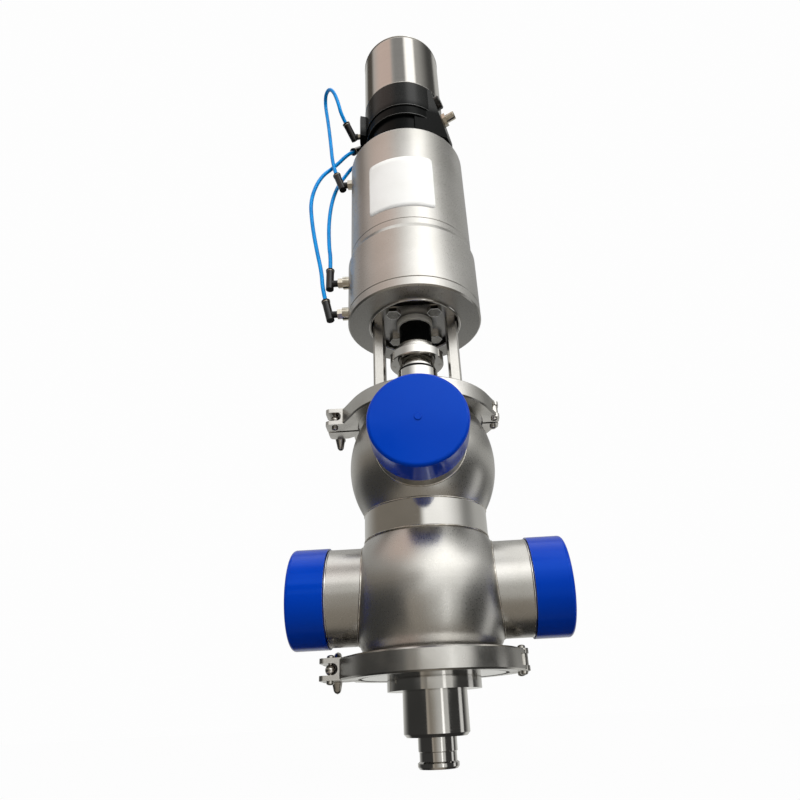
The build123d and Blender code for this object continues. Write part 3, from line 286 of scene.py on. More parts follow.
def wing(root, side, half_t=(0.0068, 0.0034), half_w=(0.0046, 0.0040), span=0.0205, lean=0.0055):
    """Wing of a wing nut: an ellipse carried outwards that thins, leans and rounds off at its tip."""
    v = np.linspace(0, 1, 15)[None, :]
    t = np.linspace(0, 2 * np.pi, 20, endpoint=False)[:, None]
    end = np.sqrt(np.clip(1 - ((v - 0.78) / 0.22).clip(0) ** 2, 0, 1))
    thick = (half_t[0] + (half_t[1] - half_t[0]) * v) * end
    wide = (half_w[0] + (half_w[1] - half_w[0]) * v) * end
    x = root[0] + thick * np.cos(t)
    y = root[1] + lean * v + wide * np.sin(t)
    z = root[2] + side * (0.004 + (span - 0.004) * v) + 0 * t
    return np.stack([x, y, z], -1)


class Finish:
    """Node tree of one finish: a Principled shader fed by patterns on Object coordinates."""

    def __init__(self, name, colour, metallic, roughness):
        self.material = bpy.data.materials.new(name)
        self.material.use_nodes = True
        self.tree = self.material.node_tree
        self.shader = self.tree.nodes["Principled BSDF"]
        self.shader.inputs["Base Color"].default_value = linear(colour)
        self.shader.inputs["Metallic"].default_value = metallic
        self.shader.inputs["Roughness"].default_value = roughness
        self.coords = self.tree.nodes.new("ShaderNodeTexCoord")
        self.normal = None

    def mapped(self, scale):
        mapping = self.tree.nodes.new("ShaderNodeMapping")
        mapping.inputs["Scale"].default_value = scale
        self.tree.links.new(self.coords.outputs["Object"], mapping.inputs["Vector"])
        return mapping.outputs["Vector"]

    def noise(self, scale, detail=3.0, stretch=(1, 1, 1), rough=0.5):
        node = self.tree.nodes.new("ShaderNodeTexNoise")
        node.inputs["Scale"].default_value = scale
        node.inputs["Detail"].default_value = detail
        node.inputs["Roughness"].default_value = rough
        self.tree.links.new(self.mapped(stretch), node.inputs["Vector"])
        return node.outputs["Fac"]

    def spread(self, fac, socket, low, high, start=0.3, end=0.7):
        """Sends a pattern to a number socket between two values."""
        node = self.tree.nodes.new("ShaderNodeMapRange")
        node.inputs["From Min"].default_value = start
        node.inputs["From Max"].default_value = end
        node.inputs["To Min"].default_value = low
        node.inputs["To Max"].default_value = high
        self.tree.links.new(fac, node.inputs["Value"])
        self.tree.links.new(node.outputs["Result"], self.shader.inputs[socket])

    def tint(self, fac, low, high, start=0.3, end=0.7):
        """Sends a pattern to the base colour between two colours."""
        ramp = self.tree.nodes.new("ShaderNodeValToRGB")
        ramp.color_ramp.elements[0].position = start
        ramp.color_ramp.elements[0].color = linear(low)
        ramp.color_ramp.elements[1].position = end
        ramp.color_ramp.elements[1].color = linear(high)
        self.tree.links.new(fac, ramp.inputs["Fac"])
        self.tree.links.new(ramp.outputs["Color"], self.shader.inputs["Base Color"])

    def bump(self, fac, strength, distance):
        node = self.tree.nodes.new("ShaderNodeBump")
        node.inputs["Strength"].default_value = strength
        node.inputs["Distance"].default_value = distance
        self.tree.links.new(fac, node.inputs["Height"])
        if self.normal:
            self.tree.links.new(self.normal, node.inputs["Normal"])
        self.normal = node.outputs["Normal"]
        self.tree.links.new(self.normal, self.shader.inputs["Normal"])

    def place(self, axis):
        """Object coordinate along one axis, or the distance from the valve's axis for R."""
        if axis == "R":
            length = self.tree.nodes.new("ShaderNodeVectorMath")
            length.operation = "LENGTH"
            self.tree.links.new(self.mapped((1, 1, 0)), length.inputs[0])
            return length.outputs["Value"]
        parts = self.tree.nodes.new("ShaderNodeSeparateXYZ")
        self.tree.links.new(self.coords.outputs["Object"], parts.inputs[0])
        return parts.outputs[axis]

    def set(self, **values):
        for socket, value in values.items():
            self.shader.inputs[socket.replace("_", " ")].default_value = value


def blasted_steel():
    """Bead-blasted housing steel: even cloud, millimetre speckle and fine grain."""
    finish = Finish("blasted_steel", "C6C4C0", 1.0, 0.3)
    speckle = finish.noise(900, 3, rough=0.6)
    finish.tint(finish.noise(14, 5), "BDBBB6", "CDCBC8")
    finish.spread(speckle, "Roughness", 0.25, 0.36)
    finish.bump(speckle, 0.30, 0.00008)
    finish.bump(finish.noise(3200, 2), 0.2, 0.00003)
    return finish.material


def turned_steel(name="turned_steel", low="BFBDB9", high="D2D0CD", rough=(0.07, 0.14)):
    """Polished turned steel with faint tool rings about the axis."""
    finish = Finish(name, high, 1.0, 0.1)
    rings = finish.noise(30, 3, (0.15, 0.15, 60))
    finish.tint(finish.noise(12, 3), low, high)
    finish.spread(rings, "Roughness", *rough)
    finish.bump(rings, 0.04, 0.00002)
    return finish.material


def brushed_steel():
    """Control cap steel, brushed round the cap in very fine rings."""
    finish = Finish("brushed_steel", "C4C0BC", 1.0, 0.12)
    rings = finish.noise(60, 4, (0.12, 0.12, 90), 0.6)
    finish.tint(rings, "BCB8B3", "CBC8C4")
    finish.spread(rings, "Roughness", 0.08, 0.14)
    finish.bump(rings, 0.04, 0.00002)
    return finish.material


def cast_steel():
    """Clamp castings: blasted and tumbled, a little uneven."""
    finish = Finish("cast_clamp_steel", "CCCAC6", 1.0, 0.22)
    finish.tint(finish.noise(14, 5), "BEBBB6", "D6D4D1")
    finish.spread(finish.noise(60, 4), "Roughness", 0.17, 0.28)
    finish.bump(finish.noise(1500, 3), 0.25, 0.00008)
    finish.bump(finish.noise(120, 2), 0.10, 0.0003)
    return finish.material


def machined_steel(name="machined_steel"):
    finish = Finish(name, "C6C3BE", 1.0, 0.16)
    finish.tint(finish.noise(60, 3), "B3B0AA", "CFCCC7")
    finish.spread(finish.noise(300, 3), "Roughness", 0.11, 0.22)
    finish.bump(finish.noise(1400, 2), 0.1, 0.00004)
    return finish.material


def plated_brass():
    """Bright nickel plate on the ports' nuts."""
    finish = Finish("plated_brass", "CBC5B8", 1.0, 0.14)
    finish.tint(finish.noise(150, 2), "BCB4A5", "D6D1C6")
    finish.spread(finish.noise(500, 3), "Roughness", 0.09, 0.18)
    finish.bump(finish.noise(900, 2), 0.08, 0.00005)
    return finish.material


def cap_plastic():
    """Soft glossy vinyl of the transport caps."""
    finish = Finish("blue_cap_plastic", "0038B0", 0.0, 0.14)
    finish.tint(finish.noise(8, 3), "0034AA", "003DB6")
    finish.spread(finish.noise(120, 3), "Roughness", 0.10, 0.18)
    finish.bump(finish.noise(260, 2), 0.10, 0.0001)
    finish.set(Specular_IOR_Level=0.5, Specular_Tint=(0.10, 0.30, 1, 1))
    return finish.material


def head_plastic():
    """Black moulded head with a fine spark texture, and painted shade below its lower lip: less sheen there.
    """
    finish = Finish("black_head_plastic", "080909", 0.0, 0.24)
    finish.tint(finish.noise(20, 3), "060707", "0B0C0C")
    finish.spread(finish.noise(300, 3), "Roughness", 0.20, 0.28)
    finish.bump(finish.noise(3000, 2), 0.2, 0.00004)
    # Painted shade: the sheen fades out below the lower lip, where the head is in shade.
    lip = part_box("actuator_cover")[1][2] + HEAD_LIPS[1][1]
    finish.spread(finish.place("Z"), "Specular IOR Level", 0.04, 0.22, lip - 0.002, lip + 0.012)
    return finish.material


def edge_plastic():
    """Sharp glossy edge of the head's mouldings."""
    finish = Finish("black_edge_plastic", "141516", 0.0, 0.2)
    finish.spread(finish.noise(300, 3), "Roughness", 0.16, 0.26)
    finish.set(Specular_IOR_Level=1.0, Coat_Weight=1.0, Coat_Roughness=0.2)
    return finish.material


def recess_steel(name, radius):
    """Blasted steel with painted shade within a radius of the valve's axis."""
    finish = Finish(name, "C6C4C0", 1.0, 0.3)
    speckle = finish.noise(900, 3, rough=0.6)
    # Painted shade: the steel turns dark grey inside the radius, where the recess lies in shade.
    finish.tint(finish.place("R"), "5A5A57", "C6C4C0", radius, radius + 0.002)
    finish.spread(speckle, "Roughness", 0.25, 0.36)
    finish.bump(speckle, 0.30, 0.00008)
    return finish.material


def chamfer_steel():
    """Painted highlight round the edges of the bolt heads: near-white and hardly metallic."""
    finish = Finish("chamfer_steel", "E4E4E0", 0.2, 0.35)
    finish.spread(finish.noise(300, 3), "Roughness", 0.25, 0.42)
    return finish.material


def fitting_plastic():
    """Glossy black of the push-in fittings."""
    finish = Finish("black_fitting_plastic", "0C0C0D", 0.0, 0.16)
    finish.tint(finish.noise(80, 2), "09090A", "101012")
    finish.spread(finish.noise(400, 2), "Roughness", 0.12, 0.22)
    finish.bump(finish.noise(900, 2), 0.1, 0.00006)
    return finish.material


def hose_plastic():
    """Clear blue polyurethane tube."""
    finish = Finish("blue_hose_plastic", "008EDC", 0.0, 0.14)
    finish.tint(finish.noise(50, 2), "0084D4", "0098E8")
    finish.spread(finish.noise(200, 2), "Roughness", 0.10, 0.18)
    finish.bump(finish.noise(600, 2), 0.05, 0.00005)
    finish.set(Specular_IOR_Level=0.5, Specular_Tint=(0.25, 0.6, 1, 1))
    return finish.material


def seal_rubber():
    finish = Finish("seal_rubber", "161616", 0.0, 0.6)
    finish.tint(finish.noise(60, 3), "111111", "1E1E1E")
    finish.spread(finish.noise(500, 3), "Roughness", 0.5, 0.72)
    finish.bump(finish.noise(2000, 2), 0.3, 0.0001)
    return finish.material


def bush_plastic():
    finish = Finish("bush_plastic", "C9C6BC", 0.0, 0.5)
    finish.tint(finish.noise(50, 3), "BDBAAF", "D2CFC6")
    finish.spread(finish.noise(300, 2), "Roughness", 0.4, 0.6)
    finish.bump(finish.noise(60, 2, (0.2, 0.2, 40)), 0.15, 0.00005)
    return finish.material


def spring_steel():
    finish = Finish("drawn_spring_steel", "77777A", 1.0, 0.3)
    finish.tint(finish.noise(80, 3), "66666A", "85858A")
    finish.spread(finish.noise(300, 3), "Roughness", 0.25, 0.42)
    finish.bump(finish.noise(1200, 2), 0.15, 0.00006)
    return finish.material


def board_laminate():
    finish = Finish("board_laminate", "1E6B3C", 0.0, 0.35)
    finish.tint(finish.noise(120, 2), "195C33", "237A45")
    finish.spread(finish.noise(300, 2), "Roughness", 0.3, 0.45)
    finish.bump(finish.noise(1500, 2), 0.2, 0.00005)
    return finish.material


def label_vinyl():
    finish = Finish("label_vinyl", "EEEEEC", 0.0, 0.35)
    finish.tint(finish.noise(30, 2), "EBEBE9", "F1F1F0")
    finish.spread(finish.noise(200, 2), "Roughness", 0.28, 0.42)
    finish.bump(finish.noise(500, 2), 0.08, 0.00004)
    return finish.material


def weld_steel():
    finish = Finish("weld_steel", "CFCBC4", 1.0, 0.2)
    finish.tint(finish.noise(200, 3), "B8B2A8", "DAD7D1")
    finish.spread(finish.noise(700, 3), "Roughness", 0.12, 0.28)
    finish.bump(finish.noise(420, 2), 0.5, 0.0002)
    return finish.material


SLOT_FINISHES = {
    "satin_steel": blasted_steel,
    "polished_steel": turned_steel,
    "brushed_cap_steel": brushed_steel,
    "fastener_steel": machined_steel,
    "clamp_steel": cast_steel,
    "pin_steel": lambda: machined_steel("polished_pin_steel"),
    "blue_cap_plastic": cap_plastic,
    "black_head_plastic": head_plastic,
    "black_fitting_plastic": fitting_plastic,
    "plated_brass": plated_brass,
    "collar_plastic": fitting_plastic,
    "blue_hose": hose_plastic,
    "seal_rubber": seal_rubber,
    "bush_plastic": bush_plastic,
    "spring_steel": spring_steel,
    "board": board_laminate,
}
MADE = {}


def finish_of(slot):
    """The slot's finish, made once."""
    if slot not in MADE:
        MADE[slot] = SLOT_FINISHES[slot]()
    return MADE[slot]


class ValveStageSettings(bpy.types.PropertyGroup):
    key_power: bpy.props.FloatProperty(
        name="Key light", description="Power of the large soft light above the camera",
        default=22.0, min=0.0, unit="POWER")
    fill_power: bpy.props.FloatProperty(
        name="Fill light", description="Power of the two smaller soft lights",
        default=7.0, min=0.0, unit="POWER")
    studio: bpy.props.FloatProperty(
        name="Studio", description="Strength of what the metal mirrors", default=STUDIO_PEAK, min=0.0)


class ValveHoseSettings(bpy.types.PropertyGroup):
    diameter: bpy.props.FloatProperty(
        name="Hose diameter", description="Outside diameter of the air hoses",
        default=0.006, min=0.003, max=0.012, unit="LENGTH")


class ValveSeamSettings(bpy.types.PropertyGroup):
    bead_radius: bpy.props.FloatProperty(
        name="Bead radius", description="Radius of the weld beads on the housings",
        default=0.0011, min=0.0003, max=0.003, unit="LENGTH")


class ValveLabelSettings(bpy.types.PropertyGroup):
    low_z: bpy.props.FloatProperty(
        name="Lower edge", description="Height of the label's lower edge", default=0.651, unit="LENGTH")
    high_z: bpy.props.FloatProperty(
        name="Upper edge", description="Height of the label's upper edge", default=0.747, unit="LENGTH")
    corner: bpy.props.FloatProperty(
        name="Corner radius", description="Radius of the label's corners", default=0.006, unit="LENGTH")
    start: bpy.props.FloatProperty(
        name="Left edge", description="Direction of the label's left edge about the axis",
        default=float(np.radians(-127)), subtype="ANGLE")
    end: bpy.props.FloatProperty(
        name="Right edge", description="Direction of the label's right edge about the axis",
        default=float(np.radians(-64.0)), subtype="ANGLE")


class VALVE_OT_stage(bpy.types.Operator):
    """Adds the camera at the photograph's angle, the soft lights, the world and the floor"""
    bl_idname = "valve.stage"
    bl_label = "Studio"

    def execute(self, context):
        settings = context.scene.valve_stage
        scene = context.scene
        scene.view_settings.view_transform = "Standard"
        pitch, azimuth, roll = np.radians(CAMERA_ANGLES)
        ahead = Vector((np.sin(azimuth) * np.cos(pitch), np.cos(azimuth) * np.cos(pitch), np.sin(pitch)))
        level = Vector((np.cos(azimuth), -np.sin(azimuth), 0))
        above = level.cross(ahead)
        right = level * np.cos(roll) - above * np.sin(roll)
        up = level * np.sin(roll) + above * np.cos(roll)
        lens = bpy.data.cameras.new("camera")
        lens.lens = 27.0
        lens.sensor_width = 36.0
        lens.shift_x = -0.0205
        lens.shift_y = 0.00225
        lens.clip_start = 0.01
        camera = bpy.data.objects.new("camera", lens)
        turn = Matrix((right, up, -ahead)).transposed().to_4x4()
        camera.matrix_world = Matrix.Translation(CAMERA_PLACE) @ turn
        scene.collection.objects.link(camera)
        scene.camera = camera
        self.add_world(settings)
        self.add_floor()
        for name, (place, size, power) in LIGHTS.items():
            self.add_light(name, place, size, getattr(settings, power))
        return {"FINISHED"}

    def step(self, tree, value, start, end, falls=False):
        """Share that goes smoothly from 0 to 1 between two values, or from 1 to 0 where it falls."""
        share = tree.nodes.new("ShaderNodeMapRange")
        share.interpolation_type = "SMOOTHSTEP"
        share.inputs["From Min"].default_value = start
        share.inputs["From Max"].default_value = end
        share.inputs["To Min"].default_value = float(falls)
        share.inputs["To Max"].default_value = float(not falls)
        tree.links.new(value, share.inputs["Value"])
        return share.outputs["Result"]

    def product(self, tree, first, second):
        """Two values multiplied."""
        node = tree.nodes.new("ShaderNodeMath")
        node.operation = "MULTIPLY"
        feed(tree, first, node.inputs[0])
        feed(tree, second, node.inputs[1])
        return node.outputs[0]

    def painted(self, tree, under, share, light):
        """Paints a light over what is under it."""
        mix = tree.nodes.new("ShaderNodeMix")
        mix.data_type = "RGBA"
        feed(tree, share, mix.inputs["Factor"])
        feed(tree, under, mix.inputs[6])
        feed(tree, light, mix.inputs[7])
        return mix.outputs[2]

    def add_world(self, settings):
        """Studio of panels round the object, and white for the camera."""
        world = bpy.data.worlds.new("studio")
        world.use_nodes = True
        tree = world.node_tree
        coords = tree.nodes.new("ShaderNodeTexCoord")
        parts = tree.nodes.new("ShaderNodeSeparateXYZ")
        tree.links.new(coords.outputs["Generated"], parts.inputs[0])
        turn = tree.nodes.new("ShaderNodeMath")
        turn.operation = "ARCTAN2"
        tree.links.new(parts.outputs["X"], turn.inputs[0])
        tree.links.new(self.product(tree, parts.outputs["Y"], -1), turn.inputs[1])
        angle = self.product(tree, turn.outputs[0], float(np.degrees(1)))
        whole = studio_light(0, GREY)
        for heights, room, panels in STUDIO:
            layer = studio_light(*room)
            for edges, brightness, tint in panels:
                rise = self.step(tree, angle, *edges[:2])
                fall = self.step(tree, angle, *edges[2:], falls=True)
                share = self.product(tree, rise, fall)
                layer = self.painted(tree, layer, share, studio_light(brightness, tint))
            whole = self.painted(tree, whole, self.step(tree, parts.outputs["Z"], *heights), layer)
        mirrored = tree.nodes["Background"]
        mirrored.inputs["Strength"].default_value = settings.studio
        tree.links.new(whole, mirrored.inputs["Color"])
        white = tree.nodes.new("ShaderNodeBackground")
        white.inputs["Color"].default_value = (0.985, 0.985, 0.985, 1)
        seen = tree.nodes.new("ShaderNodeLightPath")
        last = tree.nodes.new("ShaderNodeMixShader")
        tree.links.new(seen.outputs["Is Camera Ray"], last.inputs[0])
        tree.links.new(mirrored.outputs[0], last.inputs[1])
        tree.links.new(white.outputs[0], last.inputs[2])
        tree.links.new(last.outputs[0], tree.nodes["World Output"].inputs["Surface"])
        bpy.context.scene.world = world

    def add_floor(self):
        side = np.linspace(-6, 6, 5)
        x, y = np.meshgrid(side, side, indexing="ij")
        mesh = new_mesh("floor", np.stack([x, y, np.full_like(x, FLOOR_Z)], -1))
        floor = bpy.data.objects.new("floor", mesh)
        floor.visible_glossy = False
        material = bpy.data.materials.new("floor_paper")
        material.use_nodes = True
        tree = material.node_tree
        shader = tree.nodes["Principled BSDF"]
        shader.inputs["Base Color"].default_value = (0.25, 0.25, 0.25, 1)
        shader.inputs["Roughness"].default_value = 0.8
        shine = tree.nodes.new("ShaderNodeEmission")
        shine.inputs["Color"].default_value = (1, 1, 1, 1)
        seen = tree.nodes.new("ShaderNodeLightPath")
        mix = tree.nodes.new("ShaderNodeMixShader")
        tree.links.new(self.product(tree, seen.outputs["Is Camera Ray"], 0.975), mix.inputs[0])
        tree.links.new(shader.outputs[0], mix.inputs[1])
        tree.links.new(shine.outputs[0], mix.inputs[2])
        tree.links.new(mix.outputs[0], tree.nodes["Material Output"].inputs["Surface"])
        mesh.materials.append(material)
        bpy.context.scene.collection.objects.link(floor)

    def add_light(self, name, place, size, power):
        lamp = bpy.data.lights.new(name, "AREA")
        lamp.shape = "RECTANGLE"
        lamp.size, lamp.size_y = size
        lamp.energy = power
        light = bpy.data.objects.new(name, lamp)
        light.visible_glossy = False
        light.location = place
        light.rotation_euler = (LIGHTS_AIM - Vector(place)).to_track_quat("-Z", "Y").to_euler()
        bpy.context.scene.collection.objects.link(light)


class VALVE_OT_air_hoses(bpy.types.Operator):
    """Lays the three blue air hoses as smooth curves along their routes"""
    bl_idname = "valve.air_hoses"
    bl_label = "Air hoses"

    def execute(self, context):
        diameter = context.scene.valve_hoses.diameter
        for name, (node, route) in HOSE_ROUTES.items():
            curve = bpy.data.curves.new(name, "CURVE")
            curve.dimensions = "3D"
            spline = curve.splines.new("NURBS")
            spline.points.add(len(route) - 1)
            points = np.ones((len(route), 4), np.float32)
            points[:, :3] = route
            spline.points.foreach_set("co", points.ravel())
            spline.order_u = 3
            spline.use_endpoint_u = True
            spline.resolution_u = 12
            curve.bevel_depth = diameter / 2
            curve.bevel_resolution = 5
            curve.use_fill_caps = True
            curve.materials.append(finish_of("blue_hose"))
            piece = bpy.data.objects.new(name, curve)
            context.scene.collection.objects.link(piece)
            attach(piece, "valve_body")
            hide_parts(node)
        return {"FINISHED"}


class VALVE_OT_finishes(bpy.types.Operator):
    """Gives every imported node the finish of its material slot"""
    bl_idname = "valve.finishes"
    bl_label = "Finishes"

    def execute(self, context):
        for part in frame["record"]["subparts"]:
            node = frame["nodes"][part["node"]]
            node.data.materials.clear()
            node.data.materials.append(finish_of(part["material_slot"]))
        frame["nodes"]["seat_ring"].data.materials[0] = turned_steel("ring_steel", rough=(0.08, 0.14))
        # Painted shade near the axis on the actuator's bottom and the yoke, where they lie in the recess's
        # shade.
        frame["nodes"]["actuator_bottom"].data.materials[0] = recess_steel("recess_steel", 0.0585)
        frame["nodes"]["yoke"].data.materials[0] = recess_steel("yoke_steel", 0.0262)
        return {"FINISHED"}


class VALVE_OT_weld_beads(bpy.types.Operator):
    """Runs a fine polished weld bead where tubes, balls and the seat ring meet"""
    bl_idname = "valve.weld_beads"
    bl_label = "Weld beads"

    def execute(self, context):
        radius = context.scene.valve_seams.bead_radius
        lower = [(BALL_END_R, LOWER_BALL_Z[1]), (BALL_R, LOWER_PORT_Z), (BALL_END_R, LOWER_BALL_Z[0])]
        upper = [(BALL_END_R, UPPER_BALL_Z[0]), (BALL_R, UPPER_PORT_Z), (BALL_END_R, UPPER_BALL_Z[1])]
        beads = [bead(seam_path(LOWER_PORT_Z, lower, "x", side), radius) for side in (-1, 1)]
        beads += [bead(seam_path(UPPER_PORT_Z, upper, "y", side), radius) for side in (-1, 1)]
        beads += [bead(hoop(RING_R, z), radius) for z in (LOWER_BALL_Z[1], UPPER_BALL_Z[0])]
        add_piece("weld_beads", joined("weld_beads", beads), "valve_body", weld_steel())
        return {"FINISHED"}


class VALVE_OT_label(bpy.types.Operator):
    """Sticks a blank rounded label on the actuator"""
    bl_idname = "valve.label"
    bl_label = "Blank label"

    def execute(self, context):
        settings = context.scene.valve_label
        radius = ACTUATOR_R + LABEL_T
        width = (settings.end - settings.start) * radius
        corner = settings.corner
        across = np.concatenate([
            -width / 2 + corner * (1 - np.cos(np.linspace(0, np.pi / 2, 8))),
            np.linspace(-width / 2 + corner, width / 2 - corner, 26)[1:-1],
            width / 2 - corner * (1 - np.cos(np.linspace(np.pi / 2, 0, 8)))])
        over = np.maximum(0, np.abs(across) - (width / 2 - corner))
        half = (settings.high_z - settings.low_z) / 2 - corner
        half = half + np.sqrt(np.maximum(0, corner ** 2 - over ** 2))
        share = np.linspace(-1, 1, 13)
        angle = (settings.start + settings.end) / 2 + across / radius
        z = (settings.low_z + settings.high_z) / 2 + half[:, None] * share
        x = radius * np.cos(angle)[:, None] * np.ones_like(share)
        y = radius * np.sin(angle)[:, None] * np.ones_like(share)
        mesh = new_mesh("blank_label", np.stack([x, y, z], -1))
        piece = add_piece("blank_label", mesh, "valve_body", label_vinyl())
        skin = piece.modifiers.new("skin", "SOLIDIFY")
        skin.thickness = LABEL_T
        skin.offset = 1.0
        return {"FINISHED"}


class VALVE_OT_neck_ring(bpy.types.Operator):
    """Lays the black ring between the neck and its top collar"""
    bl_idname = "valve.neck_ring"
    bl_label = "Neck ring"

    def execute(self, context):
        neck_radius, neck_z, ring_radius = 0.0238, 0.4422, 0.0012
        mesh = joined("neck_o_ring", [bead(hoop(neck_radius, neck_z), ring_radius, 12)])
        add_piece("neck_o_ring", mesh, "valve_body", finish_of("seal_rubber"))
        return {"FINISHED"}


class VALVE_OT_release_rings(bpy.types.Operator):
    """Adds the push-in collars' flanges and the bright ring under each"""
    bl_idname = "valve.release_rings"
    bl_label = "Release rings"

    def execute(self, context):
        flange = [(0.0047, 0.0022), (0.0057, 0.0022), (0.0062, 0.0027), (0.0063, 0.0034), (0.0059, 0.0040),
                  (0.0048, 0.0042), (0.0036, 0.0042), (0.0034, 0.0038), (0.0034, 0.0030)]
        ring = [(0.0045, 0.0001), (0.0059, 0.0001), (0.0061, 0.0005), (0.0061, 0.0010), (0.0058, 0.0014),
                (0.0045, 0.0014)]
        foot_depth = 0.004
        ends = []
        for _, route in HOSE_ROUTES.values():
            ends += [(route[0], route[1]), (route[-1], route[-2])]
        flanges, rings = [], []
        for end, ahead in ends:
            way = (Vector(ahead) - Vector(end)).normalized()
            base = Vector(end) - foot_depth * way
            flanges.append(round_band(base, way, flange, 32))
            rings.append(round_band(base, way, ring, 32))
        add_piece("release_flanges", joined("release_flanges", flanges), "valve_body",
                  finish_of("black_fitting_plastic"))
        add_piece("release_rings", joined("release_rings", rings), "valve_body",
                  finish_of("plated_brass"))
        return {"FINISHED"}


class VALVE_OT_wing_nuts(bpy.types.Operator):
    """Puts a cast wing nut with tapered wings on each eyebolt"""
    bl_idname = "valve.wing_nuts"
    bl_label = "Wing nuts"

    def execute(self, context):
        hub = [(0.0043, 0), (0.0070, 0), (0.0079, 0.0012), (0.0078, 0.0060), (0.0066, 0.0104),
               (0.0056, 0.0118), (0.0043, 0.0118)]
        for name, z in JOINTS.items():
            centre = (BOLT_PIN_X, NUT_Y - PIN_Y, z)
            grids = [round_band(centre, (0, 1, 0), hub, 32)]
            mesh = joined(name + "_cast_nut", grids)
            shape = bmesh.new()
            shape.from_mesh(mesh)
            for side in (-1, 1):
                root = (BOLT_PIN_X, centre[1] + WING_Y, z + side * 0.0006)
                part = joined("wing", [wing(root, side)], True, False)
                shape.from_mesh(part)
                bpy.data.meshes.remove(part)
            shape.to_mesh(mesh)
            shape.free()
            node = name + "_wing_nut"
            piece = add_piece(name + "_cast_nut", mesh, node, finish_of("pin_steel"))
            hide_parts(node)
        return {"FINISHED"}


class VALVE_OT_eyebolts(bpy.types.Operator):
    """Turns each eyebolt with a ball eye and a cut thread"""
    bl_idname = "valve.eyebolts"
    bl_label = "Eyebolts"

    def execute(self, context):
        t = np.linspace(0, np.pi, 17)[:-1]
        ball = np.stack([EYE_R * np.sin(t), -EYE_R * np.cos(t)], 1)[:14]
        shank = [[THREAD_R[1], 0.0048], [THREAD_R[1], 0.0070]]
        steps = np.arange(0, 88)
        thread = np.stack([np.where(steps % 2 == 0, *THREAD_R), 0.0075 + HALF_PITCH * steps], 1)
        tip = [[0.0033, 0.0620], [0, 0.0620]]
        profile = np.vstack([ball, shank, thread, tip])
        for name, z in JOINTS.items():
            node = name + "_eyebolt"
            grid = round_band((BOLT_PIN_X, -PIN_Y, z), (0, 1, 0), profile, 28)
            piece = add_piece(name + "_turned_bolt", joined(name + "_turned_bolt", [grid]), node,
                              finish_of("pin_steel"))
            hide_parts(node)
        return {"FINISHED"}


class VALVE_OT_slot_roots(bpy.types.Operator):
    """Rounds the root of the slot that each eyebolt swings in"""
    bl_idname = "valve.slot_roots"
    bl_label = "Slot roots"

    def execute(self, context):
        t = np.linspace(0, np.pi / 2, 10)
        overlap = 0.0002
        back = SLOT_ROOT_X - SLOT_HALF
        for name, z in JOINTS.items():
            corners = []
            for side in (-1, 1):
                corner = np.array([SLOT_ROOT_X + overlap, 0, z + side * (SLOT_HALF + overlap)])
                arc = np.stack([back + SLOT_HALF * np.cos(t), 0 * t, z + side * SLOT_HALF * np.sin(t)], 1)
                outline = np.vstack([[corner[0], 0, z], arc, [back, 0, corner[2]], corner])
                tip = np.broadcast_to(corner, outline.shape)
                front, rear = ((0, y, 0) for y in SLOT_Y)
                corners.append(np.stack([tip + front, outline + front, outline + rear, tip + rear], 1))
            mesh = joined(name + "_slot_root", corners, True, False)
            mesh.polygons.foreach_set("use_smooth", np.zeros(len(mesh.polygons), bool))
            add_piece(name + "_slot_root", mesh, name + "_clamp_front",
                      finish_of("clamp_steel"))
        return {"FINISHED"}


class VALVE_OT_pin_domes(bpy.types.Operator):
    """Rounds the heads of the clamps' pins"""
    bl_idname = "valve.pin_domes"
    bl_label = "Pin domes"

    def execute(self, context):
        radius, height = 0.0039, 0.0017
        for name, z in JOINTS.items():
            places = {"valve_body": [(HINGE_PIN_X, -PIN_Y), (HINGE_PIN_X, PIN_Y)],
                      name + "_clamp_front": [(BOLT_PIN_X, -PIN_Y)]}
            for body, spots in places.items():
                domes = [dome((x, y, z + side * PIN_HEAD_Z), (0, 0, side), radius, height)
                         for x, y in spots for side in (-1, 1)]
                label = name + ("_hinge_domes" if body == "valve_body" else "_bolt_domes")
                add_piece(label, joined(label, domes), body, finish_of("pin_steel"))
        return {"FINISHED"}


class VALVE_OT_connector_thread(bpy.types.Operator):
    """Cuts the fine thread round the power connector's barrel"""
    bl_idname = "valve.connector_thread"
    bl_label = "Connector thread"

    def execute(self, context):
        bore, root, crest, start, half_pitch = 0.0058, 0.0062, 0.0067, -0.0125, 0.00052
        steps = np.arange(0, 23)
        outside = np.stack([np.where(steps % 2 == 0, root, crest), start + half_pitch * steps], 1)
        inside = [(bore, outside[-1, 1]), (bore, outside[0, 1])]
        band = round_band(CONNECTOR_TIP, CONNECTOR_WAY, np.vstack([outside, inside]), 40)
        mesh = joined("connector_thread", [band])
        add_piece("connector_thread", mesh, "valve_body", finish_of("plated_brass"))
        return {"FINISHED"}


